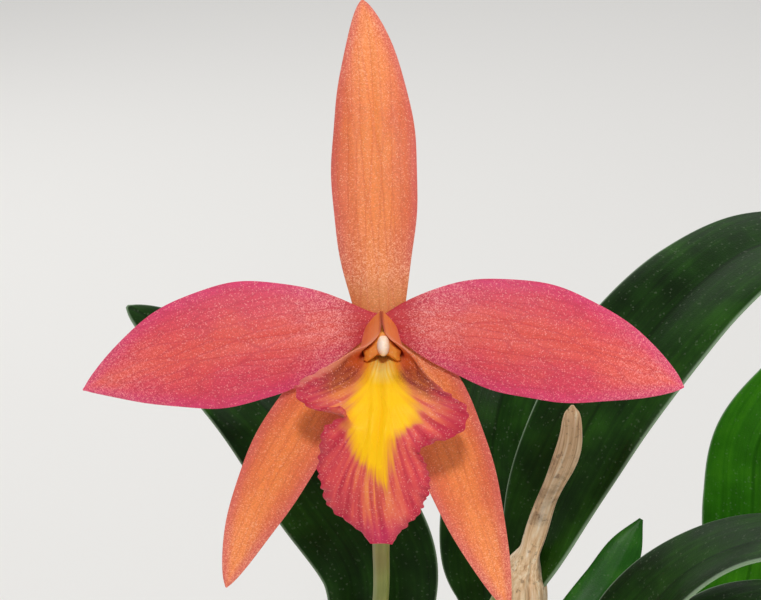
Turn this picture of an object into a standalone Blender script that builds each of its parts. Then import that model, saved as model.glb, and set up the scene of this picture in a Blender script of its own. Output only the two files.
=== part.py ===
"""A cattleya orchid in bloom, growing in a clay pot.

Lengths and places are written in millimetres and become metres when a mesh is made.
+Z is up, the bloom faces -Y, and the origin is the middle of the pot's underside.
"""

import math
import random

import bmesh
import bpy
import numpy as np

MM = 0.001
GAP = 0.35  # clearance between two pieces that touch on the plant

# The pot: an ordinary clay one with a thick collar
POT_HEIGHT = 105.0
POT_FOOT_RADIUS = 42.0
POT_SHOULDER_RADIUS = 55.0
COLLAR_RADIUS = 62.0
COLLAR_HEIGHT = 22.0
POT_WALL = 5.5
POT_FLOOR = 6.0
POT_SIDES = 36
DRAIN_RADIUS = 5.0
DRAIN_CIRCLE = 21.0
DRAINS = 3

# The bark that the roots grow in
BARK_TOP = 93.0
BARK_MOUND = 3.0
BARK_CHIPS = 30
CHIP_SIZE = (22.0, 14.0, 8.0)
BARK_SEED = 3

# The creeping stem
RHIZOME_RADIUS = 4.4
RHIZOME_HEIGHT = 95.5

# The bloom: its own frame has x to the viewer's right, y up and z towards the viewer
BLOOM_CENTRE = (0.0, -62.0, 292.0)
BLOOM_TILT = math.radians(18.0)
TEPAL_THICKNESS = 0.8
LIP_THICKNESS = 0.7
OVARY_TOP = -1.85  # where the ovary ends, behind the bloom's centre

# Each growth: where its bulb stands on the creeping stem, where the bulb ends, how thick it is and
# how far up its papery sheath reaches, oldest first
GROWTHS = {
    "bulb_1": {"foot": (17.0, 34.0), "top": (7.0, 46.0, 168.0), "radius": 7.6, "sheath": 0.38},
    "bulb_2": {"foot": (15.0, 18.0), "top": (22.0, 32.0, 192.0), "radius": 7.4, "sheath": 0.62},
    "bulb_3": {"foot": (11.0, 2.0), "top": (29.5, -2.0, 222.0), "radius": 7.6, "sheath": 0.97},
    "bulb_4": {"foot": (-5.0, -20.0), "top": (-3.0, -18.0, 196.0), "radius": 7.8, "sheath": 0.55},
    "bulb_5": {"foot": (35.0, 17.0), "top": (65.0, 24.0, 172.0), "radius": 7.0, "sheath": 0.5},
    "bulb_6": {"foot": (39.0, 1.0), "top": (53.0, 6.0, 168.0), "radius": 6.8, "sheath": 0.7},
    "bulb_7": {"foot": (36.0, -18.0), "top": (43.0, -17.0, 184.0), "radius": 7.0, "sheath": 0.6},
}
BULB_SIDES = 10
BULB_RINGS = 9
SHEATH_THICKNESS = 0.7

# Each leaf: the bulb that carries it, the points that its midrib passes after leaving the bulb, the sides
# that its upper face looks to at the foot and at the tip, its width, and how far its foot stands from the
# middle of the bulb's top
LEAVES = {
    "leaf_2": {
        "bulb": "bulb_2",
        "rib": [
            (22, 34, 206), (24.5, 36, 220), (26, 38, 234), (30, 42, 244), (39, 47, 250),
            (53, 51, 250), (67, 53, 243),
        ],
        "faces": ((-0.3, -0.95, 0.0), (-0.3, -0.6, 0.7)), "width": 24.0, "shift": (0.0, 0.0),
    },
    "leaf_3": {
        "bulb": "bulb_3",
        "rib": [
            (34, 0.5, 234), (40, 2, 243), (46.5, 5, 253.5), (56.5, 10, 266),
            (65, 15, 273), (76.5, 22, 280), (89.5, 28, 282.5), (104, 34, 280), (118, 39, 271),
        ],
        "faces": ((-0.55, -0.83, 0.1), (-0.35, -0.6, 0.7)), "width": 24.5, "shift": (0.6, 2.0),
    },
    "leaf_4": {
        "bulb": "bulb_4",
        "rib": [
            (-1, -13, 210), (0.5, -12, 225), (-8.5, -6, 242),
            (-22, 2, 255), (-38, 10, 264.5), (-51.5, 16, 270.5),
        ],
        "faces": ((0.0, -1.0, 0.0), (0.3, -0.75, 0.6)), "width": 25.0, "shift": (0.0, 3.2),
    },
    "leaf_5": {
        "bulb": "bulb_5",
        "rib": [
            (71.5, 25, 183), (76, 26, 193), (80.5, 27, 209), (82, 28, 222),
            (83, 29, 235), (86.5, 31, 246.5), (94, 34, 257.5), (104, 38, 266),
        ],
        "faces": ((-0.3, -0.95, 0.1), (-0.3, -0.8, 0.5)), "width": 25.0, "shift": (0.0, 0.0),
    },
    "leaf_6": {
        "bulb": "bulb_6",
        "rib": [(57, 5, 183), (62, 2, 198), (71, -2, 209), (84, -6, 214), (99, -10, 212), (112, -13, 204)],
        "faces": ((-0.6, -0.8, 0.1), (-0.1, -0.2, 0.97)), "width": 22.0, "shift": (0.0, 0.0),
    },
    "leaf_7": {
        "bulb": "bulb_7",
        "rib": [
            (44.5, -19.5, 199), (47, -22, 210), (52.5, -26.5, 219.5), (60.5, -32, 228),
            (71.5, -37.5, 234.5), (84, -43, 237.5), (98, -48, 236), (112, -52, 229),
        ],
        "faces": ((-0.75, -0.65, 0.0), (-0.1, -0.15, 0.98)), "width": 26.0, "shift": (0.0, 0.0),
    },
}
LEAF_RIB_THICKNESS = 2.2
LEAF_EDGE_SHARE = 0.5
LEAF_BASE_WIDTH = 6.5
LEAF_ROWS = 14
LEAF_COLUMNS = 4

# The young shoot beside the flowering growth, still rolled in itself
SHOOT_LINE = [
    (25, -15, 96), (25.5, -16, 130), (24, -17, 170), (27.5, -16, 205),
    (35, -12, 217), (43, -8, 224.5), (51.5, -4, 232),
]
SHOOT_RADII = (4.2, 4.4, 4.0, 3.5, 2.6, 0.5)

# The flower stem, the stalk that it carries, and the sheaths that flower stems grow out of
PEDUNCLE_LINE = [
    (-3, -20.2, 196.8), (-3, -20.6, 203), (-1.5, -25, 214), (0, -30.5, 228), (0, -35, 241), (0, -37.5, 256),
]
PEDUNCLE_RADIUS = 1.6
PEDICEL_BENDS = [(0.0, -39.5, 270.0), (0.0, -43.5, 281.5)]
OVARY_RADIUS = 2.3
OVARY_LENGTH = 12.0
SPATHE_HEIGHT = 21.0
DRY_SPATHE_LINE = [(29.5, -5, 222.6), (32.5, -8, 236.5), (36, -11, 251), (36.5, -12, 259)]
DRY_SPATHE_WIDTHS = (5.0, 3.7, 3.5, 3.0, 0.9)

# Roots: the points that each one passes, from the creeping stem out; the last two hang over the collar
ROOTS = {
    "root_1": [(-4, -17, 95.5), (-15, -22, 98), (-25, -28, 99.5), (-34, -31, 95), (-38, -30, 85)],
    "root_2": [(2, -8, 95.5), (-12, -10, 100), (-24, -8, 101), (-34, 0, 98.5), (-40, 10, 88)],
    "root_3": [(11, 4, 95.5), (-1, 14, 99.5), (-13, 22, 100.5), (-24, 30, 97.5), (-31, 36, 87)],
    "root_4": [(33, -19, 95.5), (29, -30, 99.5), (21, -38, 99.5), (12, -42, 96), (6, -43, 86)],
    "root_5": [
        (-7, -23, 95.5), (-15, -37, 102.5), (-18, -44.5, 107), (-21, -51, 109), (-23, -56.5, 108.5),
        (-24.5, -60, 103.5), (-25, -60.5, 95), (-25.5, -60, 85), (-24.5, -57, 76), (-20, -55, 62),
    ],
    "root_6": [
        (38, 6, 95.5), (44, 9, 101.5), (48.5, 11.5, 106.5), (54, 13, 109), (59.5, 14.5, 108.5),
        (63, 15.5, 103.5), (64, 15, 94.5), (63, 17.5, 84.5), (60, 19.5, 74),
    ],
}
ROOT_RADIUS = 2.0
ROOT_SIDES = 7

# Sepals and petals
TEPAL_ROWS = 13
TEPAL_COLUMNS = 4

# Each tepal: its midrib's points, its half widths to the left and right, its outline's lateness, fullness
# and claw, how far its edges stand forward of its midrib, and its finish
TEPALS = {
    "dorsal_sepal": (
        [(-0.1, 2.7, -0.8), (-0.9, 18, 1.2), (-1.2, 38, 1.0), (-3.2, 54.3, -6.5)],
        (6.8, 6.8), (0.96, 0.55, 0.45), -0.9, "sepal",
    ),
    "left_sepal": (
        [(-2.2, -2.3, -0.9), (-10.0, -11, -0.5), (-20.6, -28, -3.0), (-25.9, -43.8, -7.0)],
        (6.3, 6.3), (1.0, 0.75, 0.35), 1.0, "sepal",
    ),
    "right_sepal": (
        [(2.2, -2.3, -0.9), (8.2, -11, -0.5), (15.4, -27, -3.0), (21.4, -47.9, -7.0)],
        (6.3, 6.3), (1.0, 0.75, 0.35), 1.0, "sepal",
    ),
    "left_petal": (
        [(-2.4, -0.4, 0.6), (-18, -0.5, 5.2), (-35, -3.5, 4.8), (-49.5, -10.5, -3.0)],
        (10.6, 9.5), (0.94, 0.78, 0.25), -1.2, "petal",
    ),
    "right_petal": (
        [(2.4, -0.4, 0.6), (18, 0.3, 5.2), (35, -3.2, 4.8), (50.5, -9.7, -3.0)],
        (9.4, 10.5), (0.94, 0.78, 0.25), -1.2, "petal",
    ),
}

# The lip's cross-sections, from its foot to its tip: place, the midline's x, y and z, how far the floor
# reaches out before it turns up, the margin's x, y and z, and how much lower the right margin stands
LIP_STATIONS = [
    (0.00, 0.0, -2.6, 1.6, 5.2, 0.8, 2.3, 1.9, 0.0),
    (0.13, 0.0, -5.0, 5.6, 6.4, 1.4, -0.4, 6.2, 0.0),
    (0.25, 0.0, -7.4, 9.8, 8.0, 3.9, -4.4, 11.0, 0.0),
    (0.36, 0.0, -10.0, 13.0, 7.4, 9.0, -8.0, 14.6, 0.9),
    (0.47, 0.0, -12.8, 15.4, 6.8, 13.7, -11.4, 15.6, 1.9),
    (0.55, -0.2, -15.2, 16.5, 6.6, 12.0, -15.3, 15.2, 2.4),
    (0.61, -0.4, -17.2, 17.0, 4.6, 7.0, -17.2, 16.6, 2.4),
    (0.67, -0.8, -19.6, 17.0, 4.4, 7.6, -19.0, 14.6, 1.6),
    (0.77, -1.1, -24.0, 16.4, 4.6, 8.9, -24.0, 12.8, 0.0),
    (0.87, -0.8, -28.8, 14.8, 4.2, 7.9, -29.0, 11.4, 0.0),
    (0.95, 0.0, -32.8, 12.8, 2.4, 4.2, -33.2, 11.0, 0.0),
    (1.00, 0.3, -35.8, 11.4, 0.8, 1.6, -36.0, 11.0, 0.0),
]
LIP_ROWS = 24
LIP_COLUMNS = 12
RUFFLES = 7.0
RUFFLE_HEIGHT = 0.9

# The column, in the bloom's own frame: the points of its middle line, and its radius along it
COLUMN_LINE = [(0, -0.2, -1.5), (0, -0.3, 1.5), (0, -1.5, 4.5), (0, -2.7, 7.0), (0, -3.1, 10.2)]
COLUMN_RADII = [(0, 1.6), (0.22, 1.45), (0.6, 1.4), (1, 1.8)]
ANTHER_LENGTH = 1.9
ANTHER_RADIUS = 1.75

# Each finish: its colour and its roughness
COLOURS = {
    "clay": ((0.55, 0.24, 0.13), 0.85),
    "bark": ((0.20, 0.11, 0.06), 0.95),
    "rhizome": ((0.30, 0.28, 0.14), 0.6),
    "root": ((0.66, 0.66, 0.56), 0.8),
    "bulb": ((0.24, 0.33, 0.09), 0.4),
    "sheath": ((0.62, 0.50, 0.34), 0.9),
    "leaf": ((0.06, 0.17, 0.04), 0.35),
    "stem": ((0.30, 0.38, 0.12), 0.45),
    "sepal": ((0.86, 0.30, 0.10), 0.5),
    "petal": ((0.80, 0.12, 0.13), 0.5),
    "lip": ((0.75, 0.10, 0.13), 0.5),
    "column": ((0.82, 0.30, 0.08), 0.4),
    "anther": ((0.93, 0.84, 0.72), 0.4),
}


def unit(vectors):
    """Each vector divided by its length."""
    return vectors / np.linalg.norm(vectors, axis=-1, keepdims=True)


def bezier(controls, t):
    """Points of the Bezier curve of any number of controls: each weighed by its Bernstein polynomial."""
    controls = np.array(controls, float)
    last = len(controls) - 1
    t = np.asarray(t, float)[:, None]
    weights = [math.comb(last, k) * t**k * (1 - t) ** (last - k) for k in range(last + 1)]
    return sum(w * c for w, c in zip(weights, controls))


def through(stations, at):
    """A smooth line through every station, a Catmull-Rom spline, read where `at` runs from 0 to 1.

    Each station is a place between 0 and 1 followed by its values."""
    stations = np.array(stations, float)
    places, values = stations[:, 0], stations[:, 1:]
    slopes = np.gradient(values, places, axis=0)
    k = np.clip(np.searchsorted(places, at, side="right") - 1, 0, len(places) - 2)
    span = (places[k + 1] - places[k])[:, None]
    s = (np.asarray(at) - places[k])[:, None] / span
    return (
        (2 * s**3 - 3 * s**2 + 1) * values[k]
        + (s**3 - 2 * s**2 + s) * span * slopes[k]
        + (3 * s**2 - 2 * s**3) * values[k + 1]
        + (s**3 - s**2) * span * slopes[k + 1]
    )


def line_through(points, count):
    """A smooth line through every point, given as a number of places at even steps."""
    points = np.array(points, float)
    run = np.concatenate([[0], np.cumsum(np.linalg.norm(np.diff(points, axis=0), axis=1))])
    fine = through(np.column_stack([run / run[-1], points]), np.linspace(0, 1, 300))
    run = np.concatenate([[0], np.cumsum(np.linalg.norm(np.diff(fine, axis=0), axis=1))])
    even = np.linspace(0, run[-1], count)
    return np.stack([np.interp(even, run, fine[:, k]) for k in range(3)], axis=1)


def lengthened(path, extra):
    """A path made longer by extra at both ends."""
    path = path.copy()
    path[0] -= unit(path[1] - path[0]) * extra
    path[-1] += unit(path[-1] - path[-2]) * extra
    return path


def path_frames(path, side_hint=(1.0, 0.0, 0.0)):
    """Tangent, side and normal along a path, with the side turned as little as possible on the way."""
    tangents = unit(np.gradient(path, axis=0))
    side = np.array(side_hint, float)
    sides = []
    for tangent in tangents:
        side = unit(side - side.dot(tangent) * tangent)
        sides.append(side)
    sides = np.array(sides)
    return tangents, sides, np.cross(sides, tangents)


def turns(sides):
    """The angles of a ring's points."""
    return np.arange(sides) * 2 * math.pi / sides


def per_point(values, rows, columns):
    """One value, one per row or one per point, spread out to every point of a grid."""
    values = np.asarray(values, float)
    return np.broadcast_to(values[:, None] if values.ndim == 1 else values, (rows, columns))


def rings_along(path, widths, depths, sides, side_hint=(1.0, 0.0, 0.0)):
    """Elliptic rings square to a path: widths along its side and depths along its normal.

    Both are one value, one per ring or one per point."""
    _, side, normal = path_frames(path, side_hint)
    angles = turns(sides)
    across = (per_point(widths, len(path), sides) * np.cos(angles))[..., None] * side[:, None]
    along = (per_point(depths, len(path), sides) * np.sin(angles))[..., None] * normal[:, None]
    return path[:, None] + across + along


def to_plant(points):
    """Places in the bloom's own frame, tilted up and moved to the bloom's centre."""
    points = np.asarray(points, float)
    c, s = math.cos(BLOOM_TILT), math.sin(BLOOM_TILT)
    axes = np.array([(1, 0, 0), (0, s, c), (0, -c, s)])
    return points @ axes + np.array(BLOOM_CENTRE)


def finish_for(name):
    """The Principled material of that name, made once."""
    found = bpy.data.materials.get(name)
    if found:
        return found
    colour, roughness = COLOURS[name]
    made = bpy.data.materials.new(name)
    made.use_nodes = True
    shader = made.node_tree.nodes["Principled BSDF"]
    shader.inputs["Base Color"].default_value = (*colour, 1.0)
    shader.inputs["Roughness"].default_value = roughness
    shader.inputs["Metallic"].default_value = 0.0
    return made


def new_object(name, finish, mesh, collection=None):
    """An object that shows a mesh, with smooth faces and a crease wherever it turns sharply."""
    obj = bpy.data.objects.new(name, mesh)
    mesh.materials.append(finish_for(finish))
    mesh.shade_smooth()
    mesh.set_sharp_from_angle(angle=math.radians(40))
    (collection or bpy.context.scene.collection).objects.link(obj)
    return obj


def mesh_of(name, work):
    """The mesh held by a bmesh, which is freed."""
    mesh = bpy.data.meshes.new(name)
    work.to_mesh(mesh)
    work.free()
    return mesh


def loft(name, rings, finish, collection=None):
    """A closed solid through rings of points, with a flat cap on each end."""
    work = bmesh.new()
    loops = [[work.verts.new(point) for point in ring] for ring in np.asarray(rings) * MM]
    for low, high in zip(loops, loops[1:]):
        for k in range(len(low)):
            work.faces.new((low[k - 1], low[k], high[k], high[k - 1]))
    work.faces.new(loops[0])
    work.faces.new(loops[-1])
    bmesh.ops.recalc_face_normals(work, faces=work.faces)
    return new_object(name, finish, mesh_of(name, work), collection)


def thin_solid(name, grid, thickness, finish, share=None, around=False):
    """A sheet given as rows of points, thickened evenly to both sides.

    It is split into triangles first, so that both faces are folded alike. Where share is given, it
    scales the thickness at each point. Around joins each row's last point to its first."""
    work = bmesh.new()
    rows, columns = grid.shape[:2]
    verts = [[work.verts.new(point) for point in row] for row in grid * MM]
    for i in range(rows - 1):
        for j in range(columns if around else columns - 1):
            k = (j + 1) % columns
            corners = (verts[i][j], verts[i][k], verts[i + 1][k], verts[i + 1][j])
            work.faces.new(corners[:3])
            work.faces.new((corners[0], corners[2], corners[3]))
    obj = new_object(name, finish, mesh_of(name, work))
    solid = obj.modifiers.new("thickness", "SOLIDIFY")
    solid.thickness = thickness * MM
    solid.offset = 0.0
    if share is not None:
        group = obj.vertex_groups.new(name="thickness")
        for k, weight in enumerate(np.ravel(share)):
            group.add([k], float(weight), "REPLACE")
        solid.vertex_group = group.name
    return obj


def combine(obj, operation, collection, solver="EXACT"):
    """Joins a whole collection to an object, or cuts it out, and applies that."""
    cut = obj.modifiers.new(operation.lower(), "BOOLEAN")
    cut.operation = operation
    cut.operand_type = "COLLECTION"
    cut.collection = collection
    cut.solver = solver
    bpy.context.view_layer.objects.active = obj
    bpy.ops.object.modifier_apply(modifier=cut.name)


def remove_collection(collection):
    """Takes away a collection and the helper shapes in it."""
    for obj in list(collection.objects):
        bpy.data.objects.remove(obj)
    bpy.data.collections.remove(collection)


def keep_outer_shell(mesh):
    """Drops all but the largest closed shell of a mesh, and so the small voids that a union leaves."""
    work = bmesh.new()
    work.from_mesh(mesh)
    shells, seen = [], set()
    for first in work.faces:
        if first in seen:
            continue
        shell, waiting = [], [first]
        seen.add(first)
        while waiting:
            face = waiting.pop()
            shell.append(face)
            for near in (other for edge in face.edges for other in edge.link_faces if other not in seen):
                seen.add(near)
                waiting.append(near)
        shells.append(shell)
    largest = max(shells, key=len)
    rest = [face for shell in shells if shell is not largest for face in shell]
    bmesh.ops.delete(work, geom=rest, context="FACES")
    work.to_mesh(mesh)
    work.free()


def new_collection(name):
    """An empty collection, for the helper shapes of one Boolean step."""
    made = bpy.data.collections.new(name)
    bpy.context.scene.collection.children.link(made)
    return made


# The pot and what fills it


def cavity_radius(z):
    """The radius of the pot's inside at height z: it widens evenly from the floor to the shoulder."""
    slope = (POT_SHOULDER_RADIUS - POT_FOOT_RADIUS) / (POT_HEIGHT - COLLAR_HEIGHT)
    return POT_FOOT_RADIUS - POT_WALL + slope * z


def spun(name, profile, finish, collection=None):
    """A solid turned about the pot's axis from a profile of (radius, height) pairs."""
    work = bmesh.new()
    verts = [work.verts.new((r * MM, 0, z * MM)) for r, z in profile]
    edges = [work.edges.new(pair) for pair in zip(verts, verts[1:])]
    bmesh.ops.spin(
        work, geom=verts + edges, cent=(0, 0, 0), axis=(0, 0, 1), angle=2 * math.pi, steps=POT_SIDES
    )
    bmesh.ops.remove_doubles(work, verts=work.verts, dist=0.01 * MM)
    bmesh.ops.recalc_face_normals(work, faces=work.faces)
    return new_object(name, finish, mesh_of(name, work), collection)


def pot():
    """The clay pot: a tapered wall under a thick collar, with drain holes round the middle of its floor."""
    collar_foot = POT_HEIGHT - COLLAR_HEIGHT
    bevel = 1.5
    lip = cavity_radius(POT_HEIGHT)
    profile = [
        (0, 0),
        (POT_FOOT_RADIUS - bevel, 0),
        (POT_FOOT_RADIUS, bevel),
        (POT_SHOULDER_RADIUS, collar_foot),
        (COLLAR_RADIUS - 2 * bevel, collar_foot),
        (COLLAR_RADIUS - bevel, collar_foot + bevel),
        (COLLAR_RADIUS, POT_HEIGHT - bevel),
        (COLLAR_RADIUS - bevel, POT_HEIGHT),
        (lip + bevel, POT_HEIGHT),
        (lip, POT_HEIGHT - bevel),
        (cavity_radius(POT_FLOOR), POT_FLOOR),
        (0, POT_FLOOR),
    ]
    made = spun("pot", profile, "clay")
    drills = new_collection("drills")
    for angle in turns(DRAINS):
        centre = np.array([math.cos(angle), math.sin(angle), 0]) * DRAIN_CIRCLE
        path = centre + np.array([(0, 0, -POT_FLOOR), (0, 0, 2 * POT_FLOOR)])
        loft("drill", rings_along(path, DRAIN_RADIUS, DRAIN_RADIUS, 16), "clay", drills)
    combine(made, "DIFFERENCE", drills)
    remove_collection(drills)


def bark_chip(chance, k, collection):
    """One chip of bark: a box with every corner moved a little, lying at a random slant."""
    spread = (cavity_radius(BARK_TOP) - 2.0) * math.sqrt((k + 0.5) / BARK_CHIPS)
    angle = k * math.pi * (3 - math.sqrt(5))  # the golden angle spreads the chips evenly
    height = BARK_TOP + BARK_MOUND * (1 - (spread / cavity_radius(BARK_TOP)) ** 2)
    centre = np.array([spread * math.cos(angle), spread * math.sin(angle), height - 1.0])
    corners = np.array([(x, y, z) for z in (-1, 1) for x, y in ((-1, -1), (1, -1), (1, 1), (-1, 1))], float)
    corners *= np.array(CHIP_SIZE) / 2 * [chance.uniform(0.7, 1.15) for _ in range(3)]
    corners += [[chance.uniform(-1.1, 1.1) for _ in range(3)] for _ in corners]
    heading = chance.uniform(0, math.pi)
    lean, roll = chance.uniform(-0.5, 0.5), chance.uniform(-0.5, 0.5)
    c, s = math.cos(heading), math.sin(heading)
    turn = np.array([(c, s, 0), (-s, c, 0), (0, 0, 1)])
    tip = np.array([(math.cos(lean), 0, math.sin(lean)), (0, 1, 0), (-math.sin(lean), 0, math.cos(lean))])
    bank = np.array([(1, 0, 0), (0, math.cos(roll), math.sin(roll)), (0, -math.sin(roll), math.cos(roll))])
    placed = corners @ bank @ tip @ turn + centre
    loft("chip", placed.reshape(2, 4, 3), "bark", collection)


def bark(stems):
    """The bark filling: a plug that fits the pot, covered in chips, with a plain hole for each stem."""
    bottom, top = POT_FLOOR + GAP, BARK_TOP - 2.0
    plug = [(0, bottom), (cavity_radius(bottom) - GAP, bottom), (cavity_radius(top) - GAP, top), (0, top)]
    made = spun("bark", plug, "bark")
    chips = new_collection("chips")
    chance = random.Random(BARK_SEED)
    for k in range(BARK_CHIPS):
        bark_chip(chance, k, chips)
    combine(made, "UNION", chips, "MANIFOLD")
    remove_collection(chips)
    low, high = bottom - GAP, POT_HEIGHT + COLLAR_HEIGHT
    room = new_collection("room")
    inside = [(0, low), (cavity_radius(bottom) - GAP, low), (cavity_radius(high) - GAP, high), (0, high)]
    spun("room", inside, "bark", room)
    combine(made, "INTERSECT", room, "MANIFOLD")
    remove_collection(room)
    combine(made, "DIFFERENCE", stems, "MANIFOLD")
    remove_collection(stems)
    keep_outer_shell(made.data)


# The creeping stem, the bulbs and the roots


def rhizome_paths():
    """The creeping stem's two lines: oldest bulb to flowering bulb, and a branch through the others."""
    feet = {name: (*growth["foot"], RHIZOME_HEIGHT) for name, growth in GROWTHS.items()}
    start, end = (19.0, 40.0, RHIZOME_HEIGHT), (-9.0, -25.0, RHIZOME_HEIGHT)
    main = [start, feet["bulb_1"], feet["bulb_2"], feet["bulb_3"], feet["bulb_4"], end]
    tail = (20.0, -13.0, RHIZOME_HEIGHT - 1.0)
    branch = [feet["bulb_2"], feet["bulb_5"], feet["bulb_6"], feet["bulb_7"], SHOOT_LINE[0], tail]
    return [line_through(main, 17), line_through(branch, 17)]


def rhizome_rings(path, extra=0.0):
    """The creeping stem is jointed: it swells and narrows along its length, and ends bluntly."""
    swell = 1 + 0.06 * np.cos(np.arange(len(path)) * 2.1)
    ends = np.clip(np.minimum(np.arange(len(path)), np.arange(len(path))[::-1]) * 0.4 + 0.6, 0, 1)
    radii = RHIZOME_RADIUS * swell * ends + extra
    return rings_along(lengthened(path, extra), radii, radii, 8, (0.0, 0.0, 1.0))


def rhizome():
    """Both lines of the creeping stem, joined."""
    main, branch = rhizome_paths()
    made = loft("rhizome", rhizome_rings(main), "rhizome")
    side = new_collection("side")
    loft("branch", rhizome_rings(branch), "rhizome", side)
    combine(made, "UNION", side)
    remove_collection(side)


def seat_on_rhizome(obj):
    """Cuts away what would run into the creeping stem, with the usual clearance."""
    saddle = new_collection("saddle")
    for k, path in enumerate(rhizome_paths()):
        loft(f"saddle_{k}", rhizome_rings(path, GAP + 0.1), "rhizome", saddle)
    combine(obj, "DIFFERENCE", saddle)
    remove_collection(saddle)
    keep_outer_shell(obj.data)


def bulb_path(growth, count):
    """A bulb's middle line: up from the creeping stem, then leaning to its top."""
    x, y = growth["foot"]
    top = np.array(growth["top"])
    foot = np.array([x, y, RHIZOME_HEIGHT])
    knee = np.array([x, y, foot[2] + 0.35 * (top[2] - foot[2])])
    return bezier([foot, knee, top], np.linspace(0, 1, count))


def bulb_radii(growth, at):
    """A bulb is a club: a narrow stalk that swells past its middle and ends in a neck."""
    shape = through([(0, 0.5), (0.15, 0.52), (0.35, 0.74), (0.62, 1.0), (0.85, 0.86), (1, 0.6)], at)[:, 0]
    return growth["radius"] * shape


def furrows(sides, phase, depth):
    """The share that a shrunken bulb's long furrows take from its radius, round one ring."""
    return 1 - depth * (0.5 + 0.5 * np.cos(4 * turns(sides) + phase))


def bulb(name, growth, phase):
    """One bulb, shallowly furrowed, cut to sit on the creeping stem."""
    at = np.linspace(0, 1, BULB_RINGS)
    radii = bulb_radii(growth, at)[:, None] * furrows(BULB_SIDES, phase, 0.1)
    rings = rings_along(bulb_path(growth, BULB_RINGS), radii, radii, BULB_SIDES)
    seat_on_rhizome(loft(name, rings, "bulb"))


def sheath(name, growth, facing):
    """The papery sheath round a bulb: a close sleeve whose free edge rises to a point on one side."""
    rows, columns = 3 + round(5 * growth["sheath"]), 10
    start = (RHIZOME_RADIUS + 3.4) / (growth["top"][2] - RHIZOME_HEIGHT)
    reach = growth["sheath"] - 0.05 * (1 - np.cos(turns(columns) - facing))
    at = start + (reach - start) * np.linspace(0, 1, rows)[:, None]
    path = bulb_path(growth, 40)
    _, side, normal = path_frames(path)
    flat = at.ravel()
    place = np.stack([np.interp(flat, np.linspace(0, 1, 40), path[:, k]) for k in range(3)], axis=1)
    across = np.stack([np.interp(flat, np.linspace(0, 1, 40), side[:, k]) for k in range(3)], axis=1)
    along = np.stack([np.interp(flat, np.linspace(0, 1, 40), normal[:, k]) for k in range(3)], axis=1)
    radii = bulb_radii(growth, flat) + GAP + SHEATH_THICKNESS / 2 + 0.25
    angles = np.tile(turns(columns), rows)
    points = place + (radii * np.cos(angles))[:, None] * across + (radii * np.sin(angles))[:, None] * along
    thin_solid(name, points.reshape(rows, columns, 3), SHEATH_THICKNESS, "sheath", around=True)


def root_rings(line, extra=0.0, count=13):
    """A root's rings: even along its length, with a blunt tip, and thicker by extra for its hole."""
    radii = np.full(count, ROOT_RADIUS)
    radii[-1] *= 0.45
    path = lengthened(line_through(line, count), extra)
    return rings_along(path, radii + extra, radii + extra, ROOT_SIDES, (0.0, 0.0, 1.0))


def shoot_rings(extra=0.0, count=12):
    """The young shoot's rings: a rolled leaf, flattened a little, that narrows to its tip."""
    stops = np.linspace(0, 1, len(SHOOT_RADII))
    radii = np.interp(np.linspace(0, 1, count), stops, SHOOT_RADII)
    path = lengthened(line_through(SHOOT_LINE, count), extra)
    return rings_along(path, radii + extra, radii * 0.8 + extra, 8)


def roots():
    """Every root, cut to sit on the creeping stem."""
    for name, line in ROOTS.items():
        seat_on_rhizome(loft(name, root_rings(line), "root"))


# The leaves


def leaf_width(t):
    """A leaf's width along its length, as a share of its widest: a narrow foot, then a long oval."""
    return np.sin(math.pi * np.clip(t, 0, 1) ** 0.8) ** 0.62


def leaf(name, bulb, rib, faces, width, shift):
    """A strap leaf: folded along its midrib at the foot, opening towards the tip, thickest at the rib."""
    stem = bulb_path(GROWTHS[bulb], 40)
    away = unit(stem[-1] - stem[-2])
    foot = stem[-1] + np.array([*shift, 0.0]) + away * (GAP + 0.15)
    t = np.linspace(0, 1, LEAF_ROWS)
    path = line_through([foot, foot + away * 6, *rib], LEAF_ROWS)
    tangents = unit(np.gradient(path, axis=0))
    face = np.array(faces[0]) * (1 - t[:, None]) + np.array(faces[1]) * t[:, None]
    across = unit(np.cross(tangents, face))
    up = np.cross(across, tangents)
    narrow = LEAF_BASE_WIDTH * np.clip(1 - t * 3.0, 0, 1)
    half = np.maximum(np.sqrt((width * leaf_width(t)) ** 2 + narrow**2), 1.6) / 2
    fold = np.radians(12 + 32 * np.exp(-t / 0.14))
    s = np.linspace(-1, 1, LEAF_COLUMNS + 1)
    rise = np.sqrt(s**2 + 0.02) - math.sqrt(0.02)
    sideways = (half * np.cos(fold))[:, None] * s
    upward = (half * np.sin(fold))[:, None] * rise - (half * 0.10)[:, None] * np.abs(s) ** 3
    grid = path[:, None] + sideways[..., None] * across[:, None] + upward[..., None] * up[:, None]
    share = 1 - (1 - LEAF_EDGE_SHARE) * np.abs(s) ** 1.5 + 0 * t[:, None]
    share[-1] = LEAF_EDGE_SHARE
    thin_solid(name, grid, LEAF_RIB_THICKNESS, "leaf", share)


# The flower stem


def spathe():
    """The flower stem's own sheath: a flattened sleeve that stands on the bulb and is open at its tip."""
    rows, columns = 6, 10
    t = np.linspace(0, 1, rows)
    line = line_through(PEDUNCLE_LINE, 60)
    place = t * SPATHE_HEIGHT + PEDUNCLE_LINE[0][2] + 0.4
    path = np.stack([np.interp(place, line[:, 2], line[:, k]) for k in range(3)], axis=1)
    wide = through([(0, 3.0), (0.3, 4.4), (0.75, 3.8), (1, 2.9)], t)[:, 0]
    deep = through([(0, 2.4), (0.3, 2.8), (0.75, 2.7), (1, 2.5)], t)[:, 0]
    rings = rings_along(path, wide, deep, columns)
    peak = 2.5 + 2.5 * np.cos(2 * turns(columns))
    rings[-1] += peak[:, None] * unit(path[-1] - path[-2])
    thin_solid("spathe", rings, SHEATH_THICKNESS, "stem", around=True)


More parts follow.
